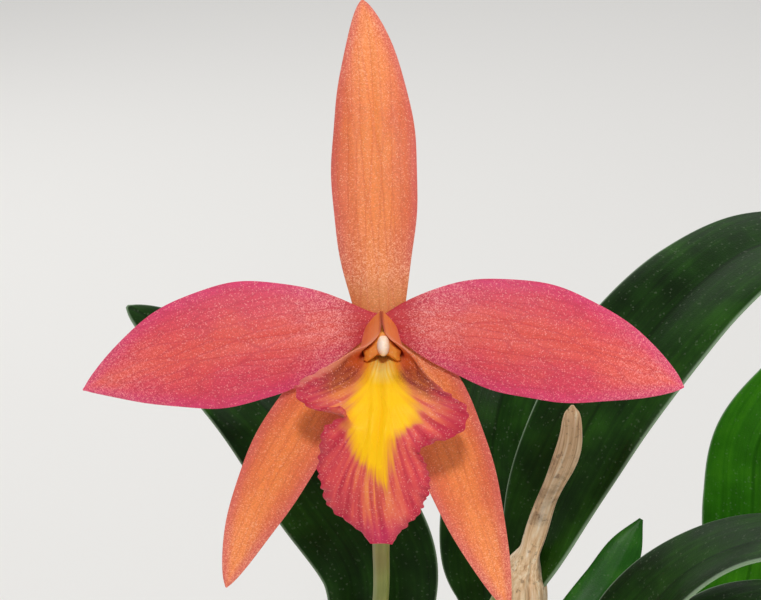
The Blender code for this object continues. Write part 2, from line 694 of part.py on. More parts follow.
def peduncle():
    """The flower stem, from the bulb's top to the joint where the flower's own stalk begins."""
    path = line_through(PEDUNCLE_LINE, 10)
    radii = PEDUNCLE_RADIUS * np.array([1.0] * 8 + [1.08, 1.25])
    loft("peduncle", rings_along(path, radii, radii, 8), "stem")


def pedicel():
    """The flower's stalk and ovary, in one: it bends forward, thickens, and ends in a disc."""
    count, sides = 12, 10
    joint = np.array(PEDUNCLE_LINE[-1], float)
    start = joint + unit(joint - np.array(PEDUNCLE_LINE[-2])) * (GAP + 0.2)
    near, end = to_plant([(0, 0, OVARY_TOP - OVARY_LENGTH), (0, 0, OVARY_TOP)])
    path = line_through([start, *PEDICEL_BENDS, near, end], count)
    t = np.linspace(0, 1, count)
    radii = through([(0, 1.8), (0.1, 1.5), (0.55, 1.7), (0.9, OVARY_RADIUS), (1, 3.3)], t)[:, 0]
    loft("pedicel", rings_along(path, radii, radii, sides), "stem")


def dry_spathe():
    """An old flower stem's sheath, dried flat and closed, standing in the fold of the third leaf."""
    count = 11
    stops = np.linspace(0, 1, len(DRY_SPATHE_WIDTHS))
    wide = np.interp(np.linspace(0, 1, count), stops, DRY_SPATHE_WIDTHS) / 2
    deep = np.clip(wide * 0.42, 0.45, 1.2)
    loft("dry_spathe", rings_along(line_through(DRY_SPATHE_LINE, count), wide, deep, 8), "sheath")


# The bloom


def tepal_width(t, lateness, fullness, claw):
    """A tepal's width along its length, as a share of its widest.

    It is a sine arch, which lateness moves along and fullness rounds, on a claw that narrows to nothing."""
    arch = np.clip(np.sin(math.pi * t**lateness), 0, 1) ** fullness
    return np.sqrt(arch**2 + (claw * (1 - t)) ** 2)


def tepal(name, rib, halves, outline, cup, finish):
    """A sepal or petal: a thin blade along a curved midrib, cupped a little across its width.

    The halves are how wide it is to the left and to the right of its midrib, seen from the front with
    its tip up."""
    t = np.linspace(0, 1, TEPAL_ROWS)
    path = bezier(rib, t)
    tangents = unit(np.gradient(path, axis=0))
    across = unit(np.cross(tangents, np.array([0.0, 0.0, 1.0])))
    up = np.cross(across, tangents)
    shape = tepal_width(t, *outline)[:, None]
    s = np.linspace(-1, 1, TEPAL_COLUMNS + 1)
    half = np.maximum(np.where(s < 0, halves[0], halves[1]) * shape, 0.5)
    grid = path[:, None] + (half * s)[..., None] * across[:, None]
    grid = grid + (cup * shape * s**2)[..., None] * up[:, None]
    thin_solid(name, to_plant(grid), TEPAL_THICKNESS, finish)


def lip_surface(u, v):
    """The lip as a surface. Each cross-section is a quadratic Bezier curve from the midline to the margin,
    level at the middle, and the margin of the front lobe waves up and down."""
    at = through(LIP_STATIONS, u)
    middle = at[:, None, :3]
    side = np.sign(v)[None, :, None]
    elbow = middle + side * np.array([1, 0, 0]) * at[:, None, 3:4]
    margin = at[:, None, 4:7] * np.concatenate([side, side**0, side**0], axis=2)
    margin = margin + np.array([1, 0, 0]) * at[:, None, :1] - side * np.array([0, 1, 0]) * at[:, None, 7:8]
    w = np.abs(v)[None, :, None]
    surface = (1 - w) ** 2 * middle + 2 * w * (1 - w) * elbow + w**2 * margin
    wave = np.sin(u * RUFFLES * 2 * math.pi)[:, None] * np.abs(v) ** 4
    strength = np.clip((u - 0.36) / 0.1, 0, 1) * np.clip((1 - u) / 0.12, 0, 1)
    surface[..., 2] += RUFFLE_HEIGHT * strength[:, None] * wave
    return surface


def lip():
    """The lip: rolled round the column at its foot, then side lobes, then a ruffled front lobe."""
    u = np.linspace(0, 1, LIP_ROWS)
    v = np.linspace(-1, 1, LIP_COLUMNS + 1)
    thin_solid("lip", to_plant(lip_surface(u, v)), LIP_THICKNESS, "lip")


def column():
    """The column: an arched stub over the lip, with a small wing on each side of its end."""
    count, sides = 8, 12
    t = np.linspace(0, 1, count)
    wide = through(COLUMN_RADII, t)[:, 0]
    angles = np.degrees(turns(sides))
    wing = np.exp(-(((angles - 30) / 18) ** 2)) + np.exp(-(((angles - 150) / 18) ** 2))
    radii = wide[:, None] * (1 + 0.45 * np.clip(t * 2.2 - 1, 0, 1)[:, None] * wing)
    loft("column", to_plant(rings_along(line_through(COLUMN_LINE, count), radii, radii, sides)), "column")


def anther_cap():
    """The anther cap: a small rounded cone that closes the column's end."""
    t = np.linspace(0, 1, 6)
    foot = np.array(COLUMN_LINE[-1]) + (0, -0.05, GAP + 0.25)
    path = foot + t[:, None] * np.array([(0, -0.5, ANTHER_LENGTH)])
    radii = ANTHER_RADIUS * np.sqrt(np.clip(1.06 - t**2.2, 0.02, 1))
    loft("anther_cap", to_plant(rings_along(path, radii * 0.86, radii * 1.05, 10)), "anther")


def stem_holes():
    """The shapes of everything that grows through the bark, each thicker by its clearance."""
    holes = new_collection("stems")
    for k, path in enumerate(rhizome_paths()):
        loft(f"stem_hole_{k}", rhizome_rings(path, GAP), "bark", holes)
    for name, line in ROOTS.items():
        loft(f"{name}_hole", root_rings(line, GAP), "bark", holes)
    loft("shoot_hole", shoot_rings(GAP), "bark", holes)
    for name, growth in GROWTHS.items():
        radii = bulb_radii(growth, np.linspace(0, 0.4, 5)) + GAP + SHEATH_THICKNESS + 0.6
        path = bulb_path(growth, 40)[:17:4]
        loft(f"{name}_hole", rings_along(path, radii, radii, 10), "bark", holes)
    return holes


def main():
    """Builds every piece, and the bark last, because it is cut to fit the others."""
    for obj in list(bpy.data.objects):
        bpy.data.objects.remove(obj)
    pot()
    rhizome()
    roots()
    seat_on_rhizome(loft("shoot", shoot_rings(), "leaf"))
    for k, (name, growth) in enumerate(GROWTHS.items()):
        bulb(name, growth, 1.3 * k)
        sheath(name.replace("bulb", "sheath"), growth, 2.2 * k)
    for name, shape in LEAVES.items():
        leaf(name, **shape)
    spathe()
    peduncle()
    pedicel()
    dry_spathe()
    for name, shape in TEPALS.items():
        tepal(name, *shape)
    lip()
    column()
    anther_cap()
    bark(stem_holes())


main()
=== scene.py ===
# %% [markdown]
# # A cattleya orchid in a clay pot
# A imported model fixes where every piece of the plant stands and how large it is, but it is coarse and plain.
# This lesson gives each piece the shape and the finish of the living thing: thin petals with veins and
# cells with painted glints, a ruffled lip, leathery leaves, papery sheaths, bark and fired clay. Every new
# shape is a surface worked out with numpy, as a function of two parameters, so a change of one number reshapes
# it.

# %% The imported model
import functools
import math

import bpy
import numpy as np
from mathutils import Matrix, Vector


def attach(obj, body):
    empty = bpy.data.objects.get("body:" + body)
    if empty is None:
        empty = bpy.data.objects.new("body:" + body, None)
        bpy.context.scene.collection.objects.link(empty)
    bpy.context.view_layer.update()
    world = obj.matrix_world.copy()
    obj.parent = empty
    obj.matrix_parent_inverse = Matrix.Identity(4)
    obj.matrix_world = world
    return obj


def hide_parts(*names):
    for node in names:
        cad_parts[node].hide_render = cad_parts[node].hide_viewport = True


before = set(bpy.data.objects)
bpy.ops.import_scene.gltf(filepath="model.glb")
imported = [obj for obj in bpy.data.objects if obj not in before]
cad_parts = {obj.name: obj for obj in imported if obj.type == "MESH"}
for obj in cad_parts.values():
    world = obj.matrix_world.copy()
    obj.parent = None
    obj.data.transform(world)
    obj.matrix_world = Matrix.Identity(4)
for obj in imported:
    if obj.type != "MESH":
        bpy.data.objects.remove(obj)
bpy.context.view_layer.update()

# %% [markdown]
# ## Lines and frames
# Plants are made of lines that bend: midribs, stems, roots. A line is given by a few points in millimetres
# and drawn as one smooth curve through them. A frame, which is a direction along the line and two across it,
# tells every later shape which way is sideways.

# %% Smooth lines through a few points
MM = 0.001  # the points below are in millimetres, and Blender's unit is the metre


def unit(vectors):
    """Each vector divided by its length."""
    return vectors / np.linalg.norm(vectors, axis=-1, keepdims=True)


def lengths(path):
    """How far along the path each point lies."""
    return np.concatenate([[0], np.cumsum(np.linalg.norm(np.diff(path, axis=0), axis=1))])


def bezier(controls, t):
    """The Bezier curve of the controls: control k of n weighs C(n, k) t^k (1 - t)^(n - k)."""
    controls, t = np.array(controls, float), np.asarray(t, float)[:, None]
    n = len(controls) - 1
    return sum(math.comb(n, k) * t**k * (1 - t) ** (n - k) * c for k, c in enumerate(controls))


def through(stations, at):
    """A cubic Hermite spline through stations, each a place from 0 to 1 and its values.

    Between two of them it is h00 p0 + h10 m0 + h01 p1 + h11 m1, with slopes m from the neighbours."""
    stations = np.array(stations, float)
    places, values = stations[:, 0], stations[:, 1:]
    slopes = np.gradient(values, places, axis=0)
    k = np.clip(np.searchsorted(places, at, side="right") - 1, 0, len(places) - 2)
    span = (places[k + 1] - places[k])[:, None]
    s = (np.asarray(at) - places[k])[:, None] / span
    start = (2 * s**3 - 3 * s**2 + 1) * values[k] + (s**3 - 2 * s**2 + s) * span * slopes[k]
    return start + (3 * s**2 - 2 * s**3) * values[k + 1] + (s**3 - s**2) * span * slopes[k + 1]


def between(at, places, rows):
    """The rows, which belong to those places, read at other places on straight lines between them."""
    return np.stack([np.interp(at, places, column) for column in np.transpose(rows)], axis=-1)


def line_through(points, count):
    """A smooth line through the points, read at that number of places with even steps between them."""
    run = lengths(points)
    fine = through(np.column_stack([run / run[-1], points]), np.linspace(0, 1, 400))
    run = lengths(fine)
    return between(np.linspace(0, run[-1], count), run, fine)


def frame_along(path, hint):
    """Direction, side and normal at each point: side is the hint less its share along the direction."""
    direction, hint = unit(np.gradient(path, axis=0)), np.asarray(hint, float)
    side = unit(hint - (direction @ hint)[:, None] * direction)
    return direction, side, np.cross(side, direction)


arch = line_through([(0, 0, 0), (10, 0, 4), (20, 0, 0)], 3)
print("the middle of a line through three points:", arch[1].round(2))

# %% [markdown]
# Widths, waves and colours change from place to place on a petal or a stem. Three small functions say where
# and how much, and each of them has one short formula.

# %% Ramps, humps and rounded ends
def ramp(x, zero, one):
    """0 at the first place and before it, 1 at the second and past it: (x - zero) / (one - zero)."""
    return np.clip((x - zero) / (one - zero), 0, 1)


def hump(x, place, width):
    """1 at the place, fading to both sides: exp(-((x - place) / width)^2)."""
    return np.exp(-(((x - place) / width) ** 2))


def rounded(distance, within, least, power=0.5):
    """A factor that rounds off an end: (distance / within)^power, at least least^power and 1 at most."""
    return np.clip(distance / within, least, 1) ** power


print("a ramp from 2 to 4, read at 1, 3 and 5:", ramp(np.array([1, 3, 5]), 2, 4))

# %% [markdown]
# ## Grids, and the faces between their points
# Most pieces are one of three shapes: a tube that closes at both ends, a sleeve with an inner and an outer
# wall, or a thin blade with a front and a back. Each is a grid of points, and the faces follow from the
# grid's row and column numbers alone, so they are built as whole arrays.

# %% Faces for tubes, sleeves and blades
def tube_faces(rows, sides, sleeve=False):
    """Quads between the rings of a tube, with a cap on each end. A sleeve's last ring joins its first."""
    index = np.arange(rows * sides).reshape(rows, sides)
    ahead = np.roll(index, -1, axis=1)
    if sleeve:
        corners = [index, np.roll(index, -1, axis=0), np.roll(ahead, -1, axis=0), ahead]
        return [np.stack(corners, axis=-1).reshape(-1, 4)]
    quads = np.stack([index[:-1], index[1:], ahead[1:], ahead[:-1]], axis=-1).reshape(-1, 4)
    return [quads, index[:1], index[-1:, ::-1]]


def blade_faces(rows, columns):
    """Quads of a front grid, of a back grid that faces the other way, and of the strip round their rim."""
    index = np.arange(rows * columns).reshape(rows, columns)
    corners = [index[:-1, :-1], index[:-1, 1:], index[1:, 1:], index[1:, :-1]]
    front = np.stack(corners, axis=-1).reshape(-1, 4)
    rim = np.concatenate([index[0, :-1], index[:-1, -1], index[-1, :0:-1], index[:0:-1, 0]])
    ahead = np.roll(rim, -1)
    strip = np.stack([ahead, rim, rim + rows * columns, ahead + rows * columns], axis=-1)
    return [front, front[:, ::-1] + rows * columns, strip]


print("faces of a tube of 3 rings with 4 sides, wall and caps:", [len(block) for block in tube_faces(3, 4)])


# %% Points for tubes and blades
def angles(sides):
    """Even steps round a full turn, in radians."""
    return np.arange(sides) * 2 * math.pi / sides


def stacked(x, y, z):
    """Three values for each point of a grid, each stretched over the grid where it is smaller."""
    return np.stack(np.broadcast_arrays(x, y, z), axis=-1)


def lathe(radius, height, sides):
    """point(k, a) = (radius cos a, radius sin a, height): rings turned about an upright axis."""
    a = angles(sides)
    return stacked(radius * np.cos(a), radius * np.sin(a), height)


def two_walls(outer, inner):
    """Rings up the outer wall of a sleeve, then back down the inner one."""
    return np.concatenate([outer, inner[::-1]])


def joined(*grids):
    """The points of several grids in one list."""
    return np.concatenate([grid.reshape(-1, 3) for grid in grids])


def tube(path, wide, deep, sides, hint=(1, 0, 0)):
    """point(t, a) = path(t) + wide cos(a) side(t) + deep sin(a) normal(t), for even angles a."""
    _, side, normal = frame_along(path, hint)
    a = angles(sides)
    across, along = (wide * np.cos(a))[..., None], (deep * np.sin(a))[..., None]
    return path[:, None] + across * side[:, None] + along * normal[:, None]


def straightened(rings, path):
    """Where a tube's points would lie, in metres, if it were straight: round an axis, as far along as now."""
    off = np.linalg.norm(rings - rings.mean(axis=1, keepdims=True), axis=2)
    return lathe(off, lengths(path)[:, None], rings.shape[1]) * MM


def from_middle(columns):
    """Places across a blade from -1 to 1, closer together towards both margins: sin(pi s / 2)."""
    return np.sin(np.linspace(-1, 1, columns) * math.pi / 2)


def on_frame(path, across, up, x, height):
    """point(t, s) = path(t) + x(t, s) across(t) + height(t, s) up(t)."""
    return path[:, None] + x[..., None] * across[:, None] + height[..., None] * up[:, None]


def blade(middle, thickness):
    """Front, then back of a sheet: middle plus and minus half the thickness along its normal.

    The normal is the step across the grid crossed with the step along it."""
    normal = unit(np.cross(np.gradient(middle, axis=1), np.gradient(middle, axis=0)))
    half = normal * thickness[..., None] / 2
    return np.concatenate([middle + half, middle - half])


print("five places across a blade:", from_middle(5).round(3))

# %% [markdown]
# ## From arrays to a piece
# The arrays go into a mesh in one step each. A pattern that follows growth, such as veins, needs to know
# where on the piece a point lies, so each mesh also carries attributes: `grown` is the point's place if the
# piece were laid out straight, in metres, and `zone` holds values for its colours. Each piece says which
# imported node it stands for and rides on the plant.

# %% One function that makes a piece
made_pieces = {}


def piece(name, points, faces, material, slot, node, crease=40.0, **attributes):
    """A smooth-shaded mesh from points in millimetres and blocks of faces, with its attributes.

    Attributes that are given for a blade's front alone hold for its back too."""
    mesh = bpy.data.meshes.new(name)
    points = np.asarray(points, float).reshape(-1, 3) * MM
    sizes = np.concatenate([np.full(len(block), block.shape[1]) for block in faces])
    corners = np.concatenate([block.ravel() for block in faces])
    mesh.vertices.add(len(points))
    mesh.vertices.foreach_set("co", points.ravel())
    mesh.loops.add(len(corners))
    mesh.loops.foreach_set("vertex_index", corners.astype(np.int32))
    mesh.polygons.add(len(sizes))
    mesh.polygons.foreach_set("loop_start", np.concatenate([[0], np.cumsum(sizes)[:-1]]).astype(np.int32))
    mesh.update(calc_edges=True)
    for key, values in attributes.items():
        values = np.asarray(values, float).reshape(-1, 3)
        if 2 * len(values) == len(points):
            values = np.concatenate([values, values])
        mesh.attributes.new(key, "FLOAT_VECTOR", "POINT").data.foreach_set("vector", values.ravel())
    mesh.validate()
    mesh.shade_smooth()
    mesh.set_sharp_from_angle(angle=math.radians(crease))
    mesh.materials.append(material)
    made = bpy.data.objects.new(name, mesh)
    bpy.context.scene.collection.objects.link(made)
    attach(made, "root")
    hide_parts(node)
    made_pieces[name] = len(mesh.polygons)


def tube_piece(name, path, rings, material, slot, node, **attributes):
    """A closed tube as a piece, with `grown` for a pattern that runs along it."""
    piece(name, rings, tube_faces(*rings.shape[:2]), material, slot, node,
          grown=straightened(rings, path), **attributes)


print("pieces so far:", len(made_pieces))

# %% [markdown]
# ## Colours and nodes
# Colours are written as the hex codes that a paint program shows, which are sRGB, and one function turns them
# into the linear values that the renderer works with. One more function adds a shader node: it sets the
# node's own settings, fills its inputs, and links the inputs that are given another node's output.

# %% Helpers for materials
# A Map Range takes a value, the two ends that it comes from and the two that it goes to, else 0 and 1.
# A Bump's Distance and the Subsurface Scale are real lengths, in metres.
SMOOTH = {"interpolation_type": "SMOOTHSTEP"}  # a Map Range that eases in and out
COLOURS = {"data_type": "RGBA", "out": 2}      # a Mix of two colours: factor 0, colours 6 and 7, result 2


def linear(code):
    """sRGB to linear: c / 12.92 up to 0.04045, and ((c + 0.055) / 1.055)^2.4 above."""
    c = np.array([int(code[k:k + 2], 16) for k in (1, 3, 5)]) / 255
    return (*np.where(c <= 0.04045, c / 12.92, ((c + 0.055) / 1.055) ** 2.4).tolist(), 1.0)


def add_node(tree, kind, inputs=(), stops=(), out=0, **settings):
    """Adds a node, or takes one that is there, and returns one of its outputs, or the node for out=None.

    Inputs are a list in the node's own order or a dictionary: values, hex colours, or outputs to link."""
    node = tree.nodes.new("ShaderNode" + kind) if isinstance(kind, str) else kind
    for key, value in settings.items():
        setattr(node, key, value)
    for key, value in inputs.items() if isinstance(inputs, dict) else enumerate(inputs):
        if isinstance(value, bpy.types.NodeSocket):
            tree.links.new(value, node.inputs[key])
        else:
            node.inputs[key].default_value = linear(value) if isinstance(value, str) else value
    for k, (place, code) in enumerate(stops):
        element = node.color_ramp.elements[k] if k < 2 else node.color_ramp.elements.new(place)
        element.position, element.color = place, linear(code)
    return node if out is None else node.outputs[out]


def new_material(name, constants):
    """A material, a function that adds nodes to it, and its Principled shader with constants set on it."""
    made = bpy.data.materials.new(name)
    made.use_nodes = True
    shader = made.node_tree.nodes["Principled BSDF"]
    for key, value in constants.items():
        shader.inputs[key].default_value = value
    return made, functools.partial(add_node, made.node_tree), shader


def per_mm(size):
    """The texture scale that repeats a pattern about once in that many millimetres."""
    return 1 / (size * MM)


print("middle grey, #808080, is linear", round(linear("#808080")[0], 3), "and the scale for 2 mm is", per_mm(2))

# %% [markdown]
# ## Petals and sepals: the tissue
# Orchid petals glitter because their skin is a layer of tiny domed cells, each a little lens. Under it runs a
# net of veins that fans out from the base. The cells come from a Voronoi pattern: each cell has its own
# random value, and the few highest are painted pale, as painted glints. The net is a second Voronoi pattern,
# stretched along the petal, of which only the lines between cells are drawn. One function makes both tissues
# from a palette.
# A painted picture could show all this too, but a pattern stays sharp from near by and follows the petal.

# %% A material for thin, glittering petals
CELL = 0.16  # mm, drawn about twice as coarse as real skin cells, so that they show


def flower_tissue(name, heart, body, margin, claw, vein, glint_colour, net, rim, rim_share):
    """Petal tissue, soft and slightly shiny: colours from the midrib out, veins, cells, and painted glints on
    them.

    net is the width and length of the veins' mesh and rim the margin's breadth, in mm. rim_share is the
    margin's strength."""
    made, add, shader = new_material(name, {
        "Roughness": 0.5, "IOR": 1.4, "Subsurface Weight": 0.1, "Subsurface Radius": (1.0, 0.35, 0.2),
        "Subsurface Scale": 0.0012, "Sheen Weight": 0.05, "Sheen Roughness": 0.45,
    })
    place = add("TexCoord", out="Object")
    grown, zone = (add("Attribute", out="Vector", attribute_name=key) for key in ("grown", "zone"))
    along, across, edge = add("SeparateXYZ", [zone], out=None).outputs
    drift = add("TexNoise", {"Vector": place, "Scale": per_mm(8), "Detail": 3})
    drift = add("Math", [drift, 0.5], operation="SUBTRACT")
    outward = add("MapRange", [add("Math", [across, drift]), 0.1, 0.8], **SMOOTH)
    colour = add("Mix", {0: outward, 6: heart, 7: body}, **COLOURS)
    # The margin's tint starts past the claw, the narrow foot that has a colour of its own; on the petals that
    # deep red is partly their own and partly painted shade beside the column
    brim = add("MapRange", [edge, 0, rim, rim_share, 0], **SMOOTH)
    past_claw = add("MapRange", [along, 0.08, 0.24], **SMOOTH)
    brim = add("Math", [brim, past_claw], operation="MULTIPLY")
    foot = add("MapRange", [along, 0.06, 0.17, 0.85, 0], **SMOOTH)
    # The vein net, turned flat so that it is a pattern in two dimensions, and bent a little by noise
    flat = add("Mapping", {"Vector": grown, "Rotation": (-math.pi / 2, 0, 0),
                           "Scale": (per_mm(net[0]), 1, per_mm(net[1]))})
    wobble = add("TexNoise", {"Vector": place, "Scale": per_mm(3), "Detail": 2}, out=1)
    bent = add("Mix", {0: 0.25, 4: flat, 5: wobble}, out=1, data_type="VECTOR")
    lines = add("TexVoronoi", {"Vector": bent, "Scale": 1}, voronoi_dimensions="2D",
                feature="DISTANCE_TO_EDGE")
    lines = add("MapRange", [lines, 0, 0.16, 1, 0], **SMOOTH)
    veined = add("Math", [lines, 0.3], operation="MULTIPLY")
    # Cells: a random value each. They carry painted glints past the claw and a little at the tip
    cells = add("TexVoronoi", {"Vector": place, "Scale": per_mm(CELL)}, out=None).outputs
    chance = add("SeparateColor", [cells["Color"]])
    start = add("MapRange", [along, 0.05, 0.14], **SMOOTH)
    fading = add("MapRange", [along, 0.1, 0.36, 0.55, 0], **SMOOTH)
    at_tip = add("MapRange", [along, 0.6, 0.95, 0, 0.3], **SMOOTH)
    glint_share = add("Math", [start, fading, at_tip], operation="MULTIPLY_ADD")
    sparkle = add("MapRange", [chance, 0.25, 1])
    glint_share = add("Math", [glint_share, sparkle], operation="MULTIPLY")
    for share, code in ((brim, margin), (foot, claw), (veined, vein), (glint_share, glint_colour)):
        colour = add("Mix", {0: share, 6: colour, 7: code}, **COLOURS)
    grain = add("MapRange", [chance, 0, 1, 0.88, 1.1])
    towards_tip = add("MapRange", [along, 0.55, 1, 1, 1.16])
    grain = add("Math", [grain, towards_tip], operation="MULTIPLY")
    colour = add("HueSaturation", {"Color": colour, "Value": grain})
    # Painted glints: the cells with the highest values turn pale
    painted_glint = add("MapRange", [chance, 0.85, 1, 0, 0.42])
    colour = add("Mix", {0: painted_glint, 6: colour, 7: glint_colour}, **COLOURS)
    domes = add("Bump", {"Height": cells["Distance"], "Distance": 0.00005, "Strength": 0.5}, invert=True)
    relief = add("Bump", {"Height": lines, "Distance": 0.00006, "Strength": 0.5, "Normal": domes}, invert=True)
    add(shader, {"Base Color": colour, "Normal": relief})
    return made


sepal_tissue = flower_tissue("sepal_tissue", heart="#F08644", body="#E06E44", margin="#D05E5C", claw="#DA8A50",
                             vein="#CF5C38", glint_colour="#F4C4A0", net=(1.1, 14), rim=2.1, rim_share=0.7)
# The petals' claw colour, a deep red, is partly their own colour and partly painted shade from the column
petal_tissue = flower_tissue("petal_tissue", heart="#E2564C", body="#D84056", margin="#D83C6E", claw="#C2343C",
                             vein="#BE3048", glint_colour="#F4B8B2", net=(1.2, 6), rim=3, rim_share=0.8)
print("tissues:", sepal_tissue.name, petal_tissue.name)

# %% [markdown]
# ## Petals and sepals: the blades
# The bloom has its own frame: x to the viewer's right, y up, z towards the viewer. It is tilted up a little
# and moved to the end of the stem as the last step. A tepal, which is a petal or a sepal, is a blade along a
# curved midrib. Its outline is a sine arch that can be moved along and rounded, on a narrowing claw. The
# margin waves gently, the midrib is a shallow groove in front and a keel behind, and the blade thins to
# nothing much at its rim, as a real one does. It could be sculpted by hand, but a formula keeps both faces
# smooth, and one number makes a petal wider or moves its widest place.

# %% The bloom's frame, and a function for its blades
BLOOM_CENTRE = np.array((0.0, -62.0, 292.0))
BLOOM_TILT = math.radians(18.0)
BLOOM_AXES = np.array([
    (1, 0, 0),
    (0, math.sin(BLOOM_TILT), math.cos(BLOOM_TILT)),
    (0, -math.cos(BLOOM_TILT), math.sin(BLOOM_TILT)),
])
PETAL_THICKNESS, KEEL, GROOVE, RIPPLE, LEAST_HALF = 0.62, 0.25, 0.28, 0.45, 0.15  # mm


def to_plant(points):
    """point = centre + x right + y up + z out, with the bloom's tilted axes."""
    return points @ BLOOM_AXES + BLOOM_CENTRE


def tepal(name, rib, halves, outline, cup, wave, material, slot):
    """A thin blade: point(t, s) = rib(t) + s half(t) across + (cup s^2 - groove + waves) up.

    half(t) is the half width times sqrt(sin(pi t^lateness)^(2 fullness) + (claw (1 - t))^2)."""
    rows, columns = 130, 57
    t, s = np.linspace(0, 1, rows)[:, None], from_middle(columns)
    path = bezier(rib, t[:, 0])
    direction, across, _ = frame_along(path, np.cross(path[-1] - path[0], (0, 0, 1.0)))
    lateness, fullness, claw = outline
    arch = np.clip(np.sin(math.pi * t**lateness), 0, 1) ** fullness
    shape = np.hypot(arch, claw * (1 - t))
    half = np.maximum(np.where(s < 0, *halves) * shape, LEAST_HALF)
    half = half * (1 + 0.012 * np.sin(23 * t + wave) * np.sign(s))
    x = half * s
    furrows = 0.05 * np.sin(2.4 * x + 6 * t + wave) * (1 - s**4)
    ripples = RIPPLE * np.abs(s) ** 3 * np.sin(11 * t + 2.2 * np.sign(s) + wave)
    height = (cup * s**2 - GROOVE * hump(x, 0, 0.7) + furrows + ripples) * shape
    keel = KEEL * hump(x, 0, 1) * (1 - t)
    thick = (PETAL_THICKNESS + keel) * np.sqrt(1 - 0.96 * s**6) * rounded(1 - t, 0.03, 0.3)
    reach = lengths(path)[:, None]
    edge = np.minimum(half * (1 - np.abs(s)), reach[-1] - reach)
    middle = on_frame(path, across, np.cross(across, direction), x, height)
    piece(name + "_blade", to_plant(blade(middle, thick)), blade_faces(rows, columns), material, slot, name,
          grown=stacked(x, 0, reach) * MM, zone=stacked(t, np.abs(s), edge))


print("10 mm up the bloom from its centre:", to_plant(np.array([(0.0, 10.0, 0.0)]))[0].round(1))

# %% [markdown]
# Three sepals stand behind, the middle one upright, and two wider petals spread in front of them. The halves
# are the widths to the left and right of the midrib, seen from the front with the tip up. The five blades are
# alike in build and differ only in these numbers.

# %% The five tepals
TEPALS = {  # midrib's controls, half widths, lateness, fullness and claw, cup, place of the waves
    "dorsal_sepal": (
        [(-0.1, 1.2, -1.2), (-1.78, 18.45, 1.2), (0, 37.04, 1), (-3.2, 55.13, -6.5)],
        (6.9, 6.8), (0.948, 0.645, 0.599), -0.9, 0.4),
    "left_sepal": (
        [(-2.2, -2.3, -0.9), (-9.85, -10.4, -0.5), (-20.53, -27.09, -3), (-26.3, -44.63, -7)],
        (5.69, 5.92), (0.954, 0.7, 0.41), 1, 1.7),
    "right_sepal": (
        [(2.2, -2.3, -0.9), (9.35, -9.5, -0.5), (14.41, -27.12, -3), (21.75, -48.47, -7)],
        (5.26, 6.34), (0.97, 0.643, 0.862), 1, 3.1),
    "left_petal": (
        [(-0.5, 0.7, -0.4), (-17.08, -1.66, 5.2), (-35.28, -4.31, 4.8), (-50.1, -10.95, -3)],
        (10.07, 10.11), (0.934, 0.889, 0.137), -1.2, 4.4),
    "right_petal": (
        [(0.5, 0.8, -0.4), (17.99, 0.45, 5.2), (35.27, -3.47, 4.8), (50.9, -10.5, -3)],
        (9.21, 10.02), (0.922, 0.748, 0.109), -1.2, 5.6),
}
for name, shape in TEPALS.items():
    kind = name.split("_")[1]
    tepal(name, *shape, {"sepal": sepal_tissue, "petal": petal_tissue}[kind], kind)
print("tepals:", made_pieces)

# %% [markdown]
# ## The lip: the surface
# The lip is the petal that insects land on. At its foot it rolls round the column like a trumpet, then it
# opens into two side lobes and ends in a ruffled front lobe. Its cross-sections change all the way, so it is
# described by stations: at each place along it, where the midline is, how far the floor reaches out before
# it turns up, and where the margin is. A cross-section is a quadratic Bezier curve from the midline to the
# margin. Ruffles, fine crimping at the margin, two low keels and the folds of the front lobe are added. One
# formula for the outline, as the petals have, can't follow its lobes and notches. Stations can, and each of
# them can be moved alone.

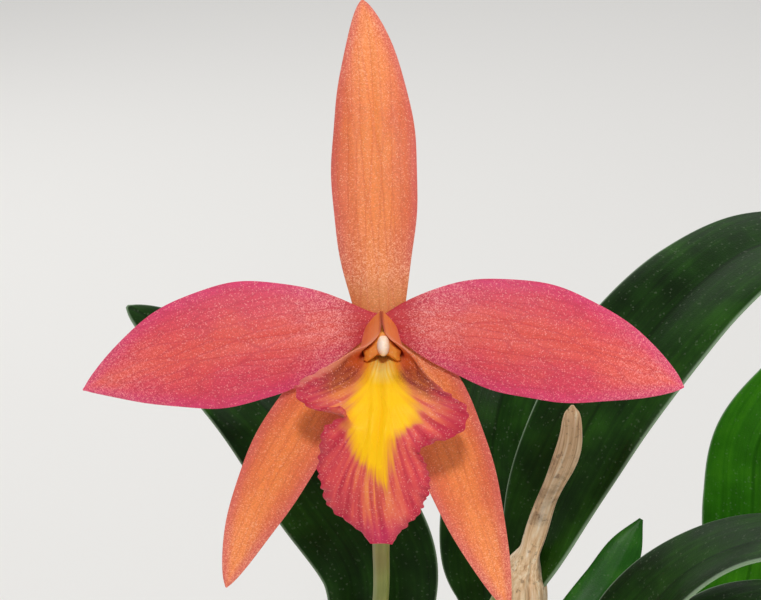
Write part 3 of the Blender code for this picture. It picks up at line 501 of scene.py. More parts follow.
# %% Cross-sections from the lip's foot to its tip
# place, midline x y z, elbow to the left and right, left margin x y z, right margin x y z
LIP_STATIONS = [
    (0.00, 0.0, -2.6, 1.6, 5.2, 5.2, 0.0, 2.3, 1.9, 0.12, 2.3, 1.9),
    (0.06, 0.0, -3.7, 3.5, 5.8, 5.8, 0.02, 1.0, 4.0, 0.16, 1.0, 4.0),
    (0.10, 0.0, -4.5, 4.8, 6.2, 6.2, 0.05, 0.0, 7.0, 0.3, 0.0, 7.0),
    (0.13, 0.1, -5.0, 5.6, 6.4, 6.4, -0.2, -1.1, 9.2, 0.65, -1.1, 9.2),
    (0.17, 0.1, -5.8, 7.0, 6.8, 6.8, -1.1, -2.3, 10.9, 1.6, -2.2, 10.9),
    (0.21, 0.1, -6.6, 8.4, 7.4, 7.4, -2.3, -3.2, 11.8, 2.9, -3.0, 11.8),
    (0.25, 0.0, -7.4, 9.8, 8.0, 8.0, -4.2, -3.9, 12.3, 4.6, -4.4, 12.3),
    (0.31, 0.0, -8.7, 11.4, 7.7, 7.7, -7.0, -5.6, 13.3, 7.1, -7.7, 13.3),
    (0.36, 0.0, -10.0, 13.0, 7.4, 7.4, -10.0, -7.2, 14.6, 9.9, -10.2, 14.4),
    (0.41, 0.0, -11.3, 14.4, 7.1, 7.1, -12.8, -8.8, 15.4, 12.3, -11.9, 15.2),
    (0.45, 0.0, -12.4, 15.2, 6.9, 6.9, -13.8, -10.4, 15.8, 13.9, -13.4, 15.6),
    (0.48, 0.0, -13.1, 15.6, 6.8, 6.9, -12.5, -12.5, 15.8, 13.7, -15.8, 15.4),
    (0.51, -0.1, -14.0, 16.0, 6.6, 6.8, -10.4, -13.3, 16.0, 12.1, -17.6, 15.0),
    (0.54, -0.2, -14.9, 16.4, 6.3, 6.8, -8.3, -13.0, 16.6, 10.2, -18.3, 15.2),
    (0.57, -0.3, -15.8, 16.7, 5.6, 6.6, -6.4, -12.9, 17.4, 8.3, -18.7, 16),
    (0.60, -0.4, -16.8, 17, 5, 6.2, -5.7, -14.5, 17.6, 7, -19.3, 16.8),
    (0.63, -0.5, -18, 17.1, 4.8, 5.4, -7.6, -15.2, 16.9, 6, -20.2, 16.6),
    (0.66, -0.7, -19.2, 17.1, 4.8, 4.8, -9.1, -16.3, 16, 6.8, -21.5, 15),
    (0.71, -0.9, -21.2, 16.9, 4.8, 4.8, -9.8, -19.6, 14.2, 7.6, -23.8, 13.8),
    (0.77, -1.1, -24, 16.4, 4.8, 4.6, -10.2, -23.5, 12.8, 7.8, -26.4, 12.8),
    (0.82, -1, -26.3, 15.7, 4.5, 4.4, -9.5, -26.3, 12.2, 7.1, -28.4, 12.2),
    (0.87, -0.8, -28.6, 14.8, 4, 4, -8.6, -29.2, 11.5, 6.2, -30.4, 11.4),
    (0.92, -0.4, -31, 13.6, 3, 3, -5.8, -31.5, 11.1, 4.2, -32.4, 11.2),
    (0.96, 0, -33.2, 12.5, 1.8, 1.8, -3.3, -33.4, 11.1, 2.7, -34, 11.1),
    (1.00, 0.2, -35.2, 11.4, 0.9, 0.9, -1.7, -35.4, 11.1, 1.8, -35.5, 11),
]


def lip_section(u, v):
    """point(u, v) = (1 - w)^2 middle + 2 w (1 - w) elbow + w^2 margin, with w = |v|; and the middle's x."""
    at = through(LIP_STATIONS, u[:, 0])[:, None]
    on_left, w = v[:, None] < 0, np.abs(v)[:, None]
    middle, margin = at[..., 0:3], np.where(on_left, at[..., 5:8], at[..., 8:11])
    elbow = middle + np.where(on_left, -at[..., 3:4], at[..., 4:5]) * np.array([1, 0, 0])
    return (1 - w) ** 2 * middle + 2 * w * (1 - w) * elbow + w**2 * margin, at[..., 0]


def lip_sheet(u, v):
    """The cross-sections with their waves. Each line adds size x where x wave(u) x how near the margin.

    `fan` numbers the lines that spread from the throat into the front lobe."""
    sheet, middle = lip_section(u, v)
    wave, w, side = 2 * math.pi * u, np.abs(v), np.sign(v)
    x, lobes = sheet[..., 0] - middle, ramp(u, 0.33, 0.39) * ramp(u, 1, 0.92)
    front = ramp(u, 0.62, 0.68) * ramp(u, 1, 0.92)
    sheet[..., 2] += 0.9 * front * np.sin(8 * wave + 0.9 * side) * w**4
    sheet[..., 2] += 0.3 * lobes * np.sin(29 * wave + 1.1 * side) * w**9
    sheet[..., 0] += 0.2 * lobes * np.sin(37 * wave + 0.6) * side * w**12
    sheet[..., 1] += 0.16 * lobes * np.cos(23 * wave + side) * w**12
    sheet[..., 2] += 1.1 * hump(u, 0.56, 0.022) * hump(w, 0.84, 0.1)
    below = (-10.5 - sheet[..., 1]) / 2
    fan = 4.15 * np.arcsinh(5 * x / (below + np.hypot(below, 1.5)))
    sheet[..., 2] += 0.25 * ramp(u, 0.5, 0.7) * ramp(u, 1, 0.85) * np.cos(1.9 * fan) * w * (1 - w**3)
    keels = 0.4 * hump(np.abs(x), 1.1, 0.45) - 0.25 * hump(x, 0, 0.4)
    sheet[..., 2] += keels * ramp(u, 0.15, 0.25) * ramp(u, 0.8, 0.6)
    return sheet, fan


print("stations along the lip:", len(LIP_STATIONS))

# %% [markdown]
# ## The lip: its colours
# The throat is a patch of strong yellow that breaks up into streaks towards the rose front lobe, the margins
# turn magenta, and dark crimson veins mark the side lobes. Where each colour lies follows the flower's own
# build, so it is worked out with the surface and stored in four attributes. `zone` holds the distance inside
# the yellow patch and how far its streaks reach. `shade` holds the dark side lobes, the magenta tip and the
# orange foot, `brim` three tints of the margin, the second of them painted shade along the slit where the
# margins nearly meet over the column, and `tint` the orange ribbons, the pale throat and its orange-brown
# flanks, partly their own orange and partly painted shade beside the column. The shader adds the streaks:
# noise stretched along the lines that fan out from the throat, which `grown` numbers here.

# %% A material for the lip
def lip_tissue_material():
    """Thin lip tissue: wet-looking yellow throat, streaked rose lobes, the same cells with painted glints."""
    made, add, shader = new_material("lip_tissue", {
        "Roughness": 0.48, "IOR": 1.4, "Specular IOR Level": 0.3, "Subsurface Weight": 0.1,
        "Subsurface Radius": (1.0, 0.4, 0.2), "Subsurface Scale": 0.001, "Sheen Weight": 0.04,
        "Sheen Roughness": 0.45,
    })
    place, fan = add("TexCoord", out="Object"), add("Attribute", out="Vector", attribute_name="grown")
    zone, shade, tint, brim = (
        add("SeparateXYZ", [add("Attribute", out="Vector", attribute_name=key)], out=None).outputs
        for key in ("zone", "shade", "tint", "brim"))
    streak = add("TexNoise", {"Vector": fan, "Scale": 1, "Detail": 2.5, "Roughness": 0.55},
                 noise_dimensions="2D")
    # Rose lobes with orange ribbons, and the yellow patch with its streaky border laid over them
    lobes = add("ValToRGB", [streak], stops=[
        (0.3, "#C02C40"), (0.46, "#D6444E"), (0.6, "#E05250"), (0.75, "#E86C5A")])
    ribbons = add("MapRange", [streak, 0.42, 0.6, 0.25, 0.95], **SMOOTH)
    ribbons = add("Math", [ribbons, tint[0]], operation="MULTIPLY")
    # tint[2]: orange-brown flanks, partly their own colour and partly painted shade beside the column
    for share, code in ((tint[2], "#C65E20"), (ribbons, "#F6A048")):
        lobes = add("Mix", {0: share, 6: lobes, 7: code}, **COLOURS)
    centred = add("Math", [streak, 0.5], operation="SUBTRACT")
    tongues = add("Math", [centred, zone[1], zone[0]], operation="MULTIPLY_ADD")
    inside = add("MapRange", [tongues, -2, 1.6])
    yellow = add("ValToRGB", [inside], stops=[
        (0, "#D4565C"), (0.3, "#E28444"), (0.6, "#F5AE18"), (0.9, "#FFC400")])
    within = add("MapRange", [inside, 0, 0.45], **SMOOTH)
    colour = add("Mix", {0: within, 6: lobes, 7: yellow}, **COLOURS)
    pale = add("MapRange", [streak, 0.4, 0.55, 0.35, 1], **SMOOTH)
    pale = add("Math", [pale, tint[1]], operation="MULTIPLY")
    # Dark veins on the side lobes, thinned by the cells, and painted glints on the cells outside the yellow
    # patch
    cells = add("TexVoronoi", {"Vector": place, "Scale": per_mm(CELL)}, out=None).outputs
    chance = add("SeparateColor", [cells["Color"]])
    veins = add("MapRange", [streak, 0.42, 0.56, 1, 0.7])
    dusty = add("MapRange", [chance, 0.45, 1, 1, 0.45])
    veins = add("Math", [veins, dusty], operation="MULTIPLY")
    dark = add("Math", [shade[0], veins], operation="MULTIPLY")
    # Painted glints: a few cells outside the yellow patch turn pale
    painted_glint = add("MapRange", [chance, 0.9, 1, 0, 0.5])
    outside = add("Math", [1, within], operation="SUBTRACT")
    painted_glint = add("Math", [painted_glint, outside], operation="MULTIPLY")
    # brim[1] is painted shade along the slit between the hood's margins
    layers = ((pale, "#FFE684"), (dark, "#701A2A"), (shade[2], "#E0682E"), (shade[1], "#C22A62"),
              (brim[0], "#BC2842"), (brim[1], "#A63430"), (brim[2], "#DC8C74"), (painted_glint, "#F2B4A8"))
    for share, code in layers:
        colour = add("Mix", {0: share, 6: colour, 7: code}, **COLOURS)
    relief = add("Bump", {"Height": streak, "Distance": 0.00025, "Strength": 0.5})
    domes = add("Bump", {"Height": cells["Distance"], "Distance": 0.00005, "Strength": 0.4, "Normal": relief},
                invert=True)
    add(shader, {"Base Color": colour, "Normal": domes})
    return made


lip_tissue = lip_tissue_material()
print("nodes in the lip's tissue:", len(lip_tissue.node_tree.nodes))

# %% The lip's shape
LIP_ROWS, LIP_COLUMNS, LIP_THICKNESS = 230, 151, 0.5
# height in the bloom's frame, how far the yellow patch reaches left and right, reach of its streaks, in mm
YELLOW = np.array([
    (-40, -6, -6, 1), (-33, -4, -4, 3), (-28.4, -2.4, -2.2, 4), (-24.6, 0.4, 0.4, 4), (-23, 1.2, 0.8, 3.5),
    (-21.4, 3.0, 1.0, 3), (-19.8, 4.0, 1.2, 2.5), (-18.2, 4.5, 1.6, 2.5), (-16.6, 5.2, 3.2, 2.5),
    (-15.6, 5.4, 5.2, 2.5), (-13.4, 5.2, 5.8, 2.5), (-11.8, 4.4, 4.6, 2.5), (-10.2, 3.6, 3.8, 2),
    (-8.6, 2.7, 3.3, 1.5), (-7, 2.0, 2.4, 1.2), (3, 1.5, 1.5, 1)])

u, v = np.linspace(0, 1, LIP_ROWS)[:, None], -from_middle(LIP_COLUMNS)
sheet, fan = lip_sheet(u, v)
x, height, off = sheet[..., 0], sheet[..., 1], np.abs(v)
to_left, to_right, tongue = np.moveaxis(between(height, YELLOW[:, 0], YELLOW[:, 1:]), -1, 0)
inside = np.where(x < 0, to_left, to_right) - np.abs(x)
steps = np.linalg.norm(np.diff(sheet, axis=1), axis=2)
out = np.concatenate([np.zeros((LIP_ROWS, 1)), np.cumsum(steps, axis=1)], axis=1)
edge = np.minimum(out, out[:, -1:] - out)
print("lip is", round(float(np.ptp(height)), 1), "mm long and", round(float(np.ptp(x)), 1), "mm wide")

# %% [markdown]
# Each mask says how much of one colour a point takes. It is a product of ramps and humps of the place along
# the lip, u, of the height and x in the bloom's frame, and of the distance to the edge.

# %% Where the lip's colours lie, and the lip itself
on_right = v > 0
dark = np.maximum(hump(edge, 1.7, 0.8), 0.8 * hump(edge, 3.8, 2)) * ramp(u, 0.21, 0.27) * ramp(u, 0.46, 0.41)
dark = np.maximum(dark, on_right * hump(edge, 0.8, 0.9) * ramp(u, 0.27, 0.32) * ramp(u, 0.47, 0.43))
tip = 0.7 * ramp(height, -30.5, -35)
foot = 0.9 * ramp(u, 0.29, 0.19) * ramp(off, 0.3, 0.6)
warm = 0.8 * hump(x, -0.8, 3.2) * ramp(height, -33, -26) * ramp(height, -17, -20)
sides = hump(height, -12.5, 3.5) * ramp(inside, -6.5, 0)
pale = 0.9 * ramp(height, -9.8, -7.3) * ramp(np.abs(x - 0.2), 2.4, 0.9)
# Orange-brown on the throat's flanks: partly the throat's own orange, partly painted shade beside the column
flank_shade = 0.9 * ramp(height, -12.5, -10) * ramp(np.abs(x), 10.5, 7.5)
rim_reach = 2.2 + 3.4 * hump(u, 0.45, 0.07)
rim = 0.85 * ramp(edge / rim_reach, 1.1, 0.1) * ramp(u, 0.34, 0.4)
# Painted shade along the slit where the margins roll over the column and nearly meet
slit_shade = 0.9 * ramp(edge, 0.5, 0) * foot * ramp(u, 0.15, 0.11)
upper_rim = 0.6 * ramp(edge, 1.28, 0.48) * ramp(u, 0.45, 0.4) * ramp(u, 0.12, 0.17)
upper_rim = upper_rim * np.where(on_right & (u > 0.25), 0.2, 1.0)
thick = LIP_THICKNESS * np.sqrt(1 - 0.9 * off**10) + 0 * height
piece("lip_blade", to_plant(blade(sheet, thick)), blade_faces(LIP_ROWS, LIP_COLUMNS), lip_tissue, "lip", "lip",
      grown=stacked(fan, np.hypot(x, height + 9) / 14, 0), zone=stacked(inside, tongue, 0),
      shade=stacked(dark, tip, foot), brim=stacked(rim, slit_shade, upper_rim),
      tint=stacked(np.maximum(warm, sides), pale, flank_shade))
print("lip faces:", made_pieces["lip_blade"])

# %% [markdown]
# ## The column
# In the heart of an orchid the stamen and the style are grown together into one stub, the column. It arches
# over the lip, with a small wing on each side of its end, and a pale cap hides the pollen there. The column
# is a tube whose radius bulges at two angles on each side, as wings, and the cap is a rounded cone with a
# cleft. Wings made as pieces of their own would leave a seam where they join, and a bulge leaves none.

# %% Column and anther cap
def waxy(name, low, high, spot, roughness):
    """Smooth waxy tissue: two near colours in soft patches and a fine grain."""
    made, add, shader = new_material(name, {
        "Roughness": roughness, "IOR": 1.45, "Subsurface Weight": 0.2, "Subsurface Radius": (1.0, 0.6, 0.4),
        "Subsurface Scale": 0.001, "Coat Weight": 0.15, "Coat Roughness": 0.25,
    })
    place = add("TexCoord", out="Object")
    patches = add("TexNoise", {"Vector": place, "Scale": per_mm(3), "Detail": 3})
    colour = add("ValToRGB", [patches], stops=[(0.35, low), (0.62, high)])
    grain = add("TexNoise", {"Vector": place, "Scale": per_mm(0.4), "Detail": 2})
    specks = add("MapRange", [grain, 0.62, 0.7, 0, 0.4])
    colour = add("Mix", {0: specks, 6: colour, 7: spot}, **COLOURS)
    relief = add("Bump", {"Height": grain, "Distance": 0.00005, "Strength": 0.5})
    add(shader, {"Base Color": colour, "Normal": relief})
    return made


column_tissue = waxy("column_tissue", "#DC7A30", "#EC9C38", "#F4C88A", 0.42)
anther_wax = waxy("anther_wax", "#F8CDA2", "#FFE6D4", "#FFF8F2", 0.4)

rows, sides = 60, 48
t = np.linspace(0, 1, rows)
line = line_through([(0, -0.2, -1.5), (0, -0.3, 1.5), (0, -1.5, 4.5), (0.1, -2.7, 7.0), (0.3, -3.1, 10.2)],
                    rows)
from_below = np.abs((np.degrees(angles(sides)) + 90) % 360 - 180)  # degrees from the underside, left or right
bulge = 1.3 * hump(from_below, 41, 12) + 0.75 * hump(from_below, 64, 13) - 0.25 * hump(from_below, 130, 30)
wide = through([(0, 1.6), (0.22, 1.6), (0.6, 1.55), (0.93, 1.7), (1, 1.2)], t)
wide = wide * (1 + np.clip(2.6 * t - 1.5, 0, 1)[:, None] * bulge)
rings = tube(line, 1.15 * wide, wide, sides)
piece("column_stub", to_plant(rings), tube_faces(rows, sides), column_tissue, "column", "column")

CAP_RADIUS = 1.62  # mm
rows, sides = 40, 40
t = np.linspace(0, 1, rows)[:, None]
line = np.array([(0.35, -3.15, 10.6)]) + t * np.array([(0.05, -0.6, 2.2)])
radius = CAP_RADIUS * np.sqrt(np.clip(1.0 - t**2.4, 0.002, 1)) * rounded(t, 0.1, 0.75)
radius = radius * (1 - 0.06 * hump(angles(sides), 3 * math.pi / 2, 0.3))
rings = tube(line, 0.64 * radius, 1.08 * radius, sides)
piece("anther_cap_dome", to_plant(rings), tube_faces(rows, sides), anther_wax, "anther", "anther_cap")
print("column faces:", made_pieces["column_stub"], "cap faces:", made_pieces["anther_cap_dome"])

# %% [markdown]
# ## Stems of living tissue
# Bulbs, stalks and the young shoot share a firm green rind with fine lines along it. The lines are noise that
# is squeezed across the piece and stretched along it, read from the `grown` attribute, so they bend with the
# stem. Two blotch colours keep the green from being one flat tone.

# %% A material for green stems and bulbs
def green_rind(name, shadow, middle, light, blush, roughness):
    """Firm plant rind with a thin cuticle: satin, lined along its growth, unevenly green."""
    made, add, shader = new_material(name, {
        "Roughness": roughness, "IOR": 1.45, "Subsurface Weight": 0.08, "Subsurface Radius": (0.4, 1.0, 0.2),
        "Subsurface Scale": 0.002, "Coat Weight": 0.12, "Coat Roughness": 0.3,
    })
    place = add("TexCoord", out="Object")
    grown = add("Attribute", out="Vector", attribute_name="grown")
    drawn = add("Mapping", {"Vector": grown, "Scale": (per_mm(0.9), per_mm(0.9), per_mm(22))})
    lines = add("TexNoise", {"Vector": drawn, "Scale": 1, "Detail": 4})
    patches = add("TexNoise", {"Vector": place, "Scale": per_mm(14), "Detail": 4})
    mottle = add("Mix", {0: 0.45, 2: patches, 3: lines})
    colour = add("ValToRGB", [mottle], stops=[(0.34, shadow), (0.5, middle), (0.66, light)])
    tinge = add("TexNoise", {"Vector": place, "Scale": per_mm(25), "Detail": 2})
    tinge = add("MapRange", [tinge, 0.5, 0.75, 0, 0.6])
    colour = add("Mix", {0: tinge, 6: colour, 7: blush}, **COLOURS)
    relief = add("Bump", {"Height": lines, "Distance": 0.0003, "Strength": 0.4})
    add(shader, {"Base Color": colour, "Normal": relief})
    return made


bulb_rind = green_rind("bulb_rind", "#5C7A2A", "#7E963C", "#9DAE55", "#A08A48", 0.42)
stalk_rind = green_rind("stalk_rind", "#6E7A34", "#8C9446", "#A8A75C", "#9A5A3C", 0.45)
print("rinds:", bulb_rind.name, stalk_rind.name)

# %% [markdown]
# ## The bulbs
# A cattleya stores water in club-shaped stems, the bulbs: narrow at the foot, swollen past the middle, and
# drawn in to a neck where the leaf sits. Old ones shrink and show long furrows. A bulb is a tube along a line
# that rises from the creeping stem and leans to its top. The radius is a spline, and the furrows take a
# share of it that changes with the angle. A stretched sphere would be quicker, but it has no neck and no
# lean.

# %% Seven bulbs
RHIZOME_HEIGHT = 95.5
GROWTHS = {  # foot on the creeping stem, top, thickest radius, how far up the sheath reaches
    "bulb_1": ((17.0, 34.0), (7.0, 46.0, 168.0), 7.6, 0.38),
    "bulb_2": ((15.0, 18.0), (22.0, 32.0, 192.0), 7.4, 0.62),
    "bulb_3": ((11.0, 2.0), (29.0, -2.0, 222.0), 7.6, 0.957),
    "bulb_4": ((-5.0, -20.0), (-3.0, -18.0, 196.0), 7.8, 0.55),
    "bulb_5": ((35.0, 17.0), (65.0, 24.0, 172.0), 7.0, 0.5),
    "bulb_6": ((39.0, 1.0), (53.0, 6.0, 168.0), 6.8, 0.7),
    "bulb_7": ((36.0, -18.0), (43.0, -17.0, 184.0), 7.0, 0.6),
}
CLUB = [(0, 0.5), (0.15, 0.52), (0.35, 0.74), (0.62, 1.0), (0.85, 0.82), (1, 0.52)]
SHRUNKEN = ("bulb_1", "bulb_2", "bulb_5")  # the old bulbs, whose furrows are deeper


def bulb_line(name, count):
    """A bulb's middle line: a quadratic Bezier curve from its foot, by a point above it, to its top."""
    (x, y), top, _, _ = GROWTHS[name]
    knee = (x, y, RHIZOME_HEIGHT + 0.35 * (top[2] - RHIZOME_HEIGHT))
    return bezier([(x, y, RHIZOME_HEIGHT), knee, top], np.linspace(0, 1, count))


def bulb(name, phase, old):
    """radius(t, a) = club(t) (1 - old (1 + cos(4 a + phase)) / 2), with fine ribs and a ring at the neck."""
    rows, sides = 120, 72
    t, a = np.linspace(0, 1, rows)[:, None], angles(sides)
    furrows = 1 - old * (0.5 + 0.5 * np.cos(4 * a + phase + 0.6 * t))
    ribs = 1 - 0.012 * np.cos(17 * a + 5 * phase) * np.sin(math.pi * t)
    ring = 1 + 0.05 * hump(t, 0.93, 0.012)
    radius = GROWTHS[name][2] * through(CLUB, t[:, 0]) * rounded(1 - t, 0.02, 0.05, 0.4) * furrows * ribs * ring
    path = bulb_line(name, rows)
    tube_piece(name + "_club", path, tube(path, radius, radius, sides), bulb_rind, "bulb", name)


for k, name in enumerate(GROWTHS):
    bulb(name, 1.3 * k, 0.13 if name in SHRUNKEN else 0.06)
print("bulbs:", len(GROWTHS))

# %% [markdown]
# ## Dry, papery sheaths
# Each bulb grows inside sheaths that dry to straw-coloured paper. Paper from a plant shows long fibres, brown
# spots and a torn upper edge, and light passes through it a little. The sheath is a sleeve with two walls:
# its radius follows the bulb, its fibres are fine waves round it, and its upper edge is cut by a sum of sines.
# A single wall would do from far off, but at the torn edge the paper's thickness shows.

# %% A material for dried plant paper
def dry_sheath_material():
    """Dried sheath: matt, fibrous, straw to brown, thin enough to scatter light inside."""
    made, add, shader = new_material("dry_plant_paper", {
        "Roughness": 0.72, "IOR": 1.47, "Subsurface Weight": 0.15, "Subsurface Radius": (1.0, 0.8, 0.5),
        "Subsurface Scale": 0.001, "Sheen Weight": 0.15, "Sheen Roughness": 0.5,
    })
    place = add("TexCoord", out="Object")
    grown = add("Attribute", out="Vector", attribute_name="grown")
    drawn = add("Mapping", {"Vector": grown, "Scale": (per_mm(0.6), per_mm(0.6), per_mm(30))})
    fibres = add("TexNoise", {"Vector": drawn, "Scale": 1, "Detail": 5, "Roughness": 0.6})
    colour = add("ValToRGB", [fibres], stops=[
        (0.3, "#B0865E"), (0.45, "#DDB88C"), (0.58, "#EED2AA"), (0.72, "#F8EAD2")])
    spots = add("TexNoise", {"Vector": place, "Scale": per_mm(9), "Detail": 6, "Roughness": 0.65})
    spots = add("MapRange", [spots, 0.54, 0.66, 0, 0.55])
    specks = add("TexNoise", {"Vector": place, "Scale": per_mm(1.1), "Detail": 3})
    specks = add("MapRange", [specks, 0.6, 0.68, 0, 0.5])
    for share, code in ((spots, "#7A5636"), (specks, "#6A4428")):
        colour = add("Mix", {0: share, 6: colour, 7: code}, **COLOURS)
    relief = add("Bump", {"Height": fibres, "Distance": 0.0004, "Strength": 0.5})
    add(shader, {"Base Color": colour, "Normal": relief})
    return made


dry_plant_paper = dry_sheath_material()
print("paper:", dry_plant_paper.name)

# %% A sheath round each bulb
SHEATH_FACINGS = (0.0, 2.2, 7.5, 6.6, 8.8, 11.0, 13.2)  # radians, where each sheath's edge is highest
SHEATH_FOOT, SHEATH_GAP, SHEATH_WALL = 7.4, 0.7, 0.3    # mm above the creeping stem, off the bulb, and thick


def sheath(name, bulb_name, facing):
    """point(t, a) = line(h) + radius(h) (cos a, sin a), h = start + (reach(a) - start) t.

    The radius is the bulb's and a gap, with waves for the fibres, loose folds and a flare at the torn edge."""
    rows, sides = 70, 96
    _, top, widest, share = GROWTHS[bulb_name]
    t, a = np.linspace(0, 1, rows)[:, None], angles(sides)
    torn = 0.012 * np.sin(9 * a + facing) + 0.009 * np.sin(23 * a + 2 * facing) + 0.006 * np.sin(41 * a)
    reach = share - 0.05 * (1 - np.cos(a - facing)) + torn
    start = SHEATH_FOOT / (top[2] - RHIZOME_HEIGHT)
    at = np.clip(start + (reach - start) * t, 0, 1)
    radius = widest * through(CLUB, at.ravel()).reshape(at.shape) + SHEATH_GAP
    radius = radius + 0.1 * np.cos(30 * a) + 0.3 * np.sin(5 * a + 9 * t + facing) * t
    radius = radius + 1.1 * ramp(t, 0.75, 1) ** 2 * (0.5 + 0.5 * np.cos(2 * a + facing))
    line = bulb_line(bulb_name, 240)
    _, side, normal = frame_along(line, (1, 0, 0))
    middle, across, up = (between(at, np.linspace(0, 1, 240), of) for of in (line, side, normal))
    outer, inner = (middle + (wall * np.cos(a))[..., None] * across + (wall * np.sin(a))[..., None] * up
                    for wall in (radius, radius - SHEATH_WALL))
    flat = lathe(widest, at * top[2], sides)
    piece(name + "_paper", two_walls(outer, inner), tube_faces(2 * rows, sides, sleeve=True), dry_plant_paper,
          "papery_sheath", name, grown=two_walls(flat, flat) * MM)


for name, facing in zip(GROWTHS, SHEATH_FACINGS):
    sheath(name.replace("bulb", "sheath"), name, facing)
print("sheaths:", len(SHEATH_FACINGS))

# %% [markdown]
# ## Leaves
# A cattleya's leaves are thick and leathery, folded along the midrib at the foot and opening towards the tip.
# Their upper face is dark and glossy, the lower one paler. On the upper face the midrib's groove carries a
# dark line of painted shade, and beneath there is a pale rib; the margin is a thin light line, partly the
# rim's own pale colour and partly a painted highlight. A leaf is a blade along its rib whose two halves rise
# by a fold angle that falls off along the leaf. A flat sheet that a modifier bends would be folded alike all
# the way, as a gutter is. The `zone` attribute tells the shader which face a point is on and how far it lies
# from the midrib and the margin.

# %% A material for leathery leaves
def leaf_material(name, deep, middle, light, under):
    """Leaf with a waxy cuticle: a soft gloss, finely lined, faintly mottled; painted shade in the midrib's
    groove on the upper face, a pale rib beneath, and a pale margin with a painted highlight.
    """
    made, add, shader = new_material(name, {
        "Roughness": 0.42, "IOR": 1.45, "Specular IOR Level": 0.12, "Coat Weight": 0.03, "Coat Roughness": 0.25,
        "Subsurface Weight": 0.05, "Subsurface Radius": (0.4, 1.0, 0.2), "Subsurface Scale": 0.001,
    })
    place = add("TexCoord", out="Object")
    grown, zone = (add("Attribute", out="Vector", attribute_name=key) for key in ("grown", "zone"))
    from_rib, edge, face = add("SeparateXYZ", [zone], out=None).outputs
    drawn = add("Mapping", {"Vector": grown, "Scale": (per_mm(1), 1, per_mm(45))})
    lines = add("TexNoise", {"Vector": drawn, "Scale": 1, "Detail": 4, "Roughness": 0.6})
    patches = add("TexNoise", {"Vector": place, "Scale": per_mm(11), "Detail": 5})
    tone = add("Mix", {0: 0.3, 2: patches, 3: lines})
    colour = add("ValToRGB", [tone], stops=[(0.36, deep), (0.5, middle), (0.68, light)])
    lower = add("MapRange", [face, 0.2, -0.2])
    # The midrib: on the upper face a dark line, painted shade in its groove; on the lower face a pale rib
    rib = add("MapRange", [from_rib, 0.2, 0.8, 0.7, 0], **SMOOTH)
    groove_shade_and_pale_rib = add("Mix", {0: lower, 6: deep, 7: light}, **COLOURS)
    # The margin: a pale line, partly the rim's own colour and partly a painted highlight along the edge
    brim = add("MapRange", [edge, 0, 0.6, 0.65, 0], **SMOOTH)
    pits = add("TexVoronoi", {"Vector": place, "Scale": per_mm(0.35)}, out=None).outputs
    chance = add("SeparateColor", [pits["Color"]])
    dust = add("MapRange", [chance, 0.95, 1, 0, 0.1])
    for share, code in ((lower, under), (rib, groove_shade_and_pale_rib), (brim, "#9CB494"), (dust, "#A9B79A")):
        colour = add("Mix", {0: share, 6: colour, 7: code}, **COLOURS)
    gloss = add("MapRange", [patches, 0.3, 0.7, 0.36, 0.52])
    grooves = add("Bump", {"Height": lines, "Distance": 0.0002, "Strength": 0.4})
    relief = add("Bump", {"Height": pits["Distance"], "Distance": 0.0001, "Strength": 0.25, "Normal": grooves})
    add(shader, {"Base Color": colour, "Roughness": gloss, "Normal": relief})
    return made


old_leaf = leaf_material("leathery_leaf", "#0C2203", "#163607", "#26500E", "#4A7030")
# A lighter copy of the leaf finish, for leaf_5 alone: painted light, as light shines through that leaf
lit_through_leaf = leaf_material("lit_through_leathery_leaf", "#1E5604", "#2B6C08", "#40860F", "#568E2C")
# A darker copy of the leaf finish for the young shoot: painted shade, as the shoot stands in shadow
shaded_shoot_leaf = leaf_material("shaded_shoot_leaf", "#17420C", "#1F5412", "#38701E", "#3E6E26")
print("leaf finishes:", old_leaf.name, lit_through_leaf.name, shaded_shoot_leaf.name)

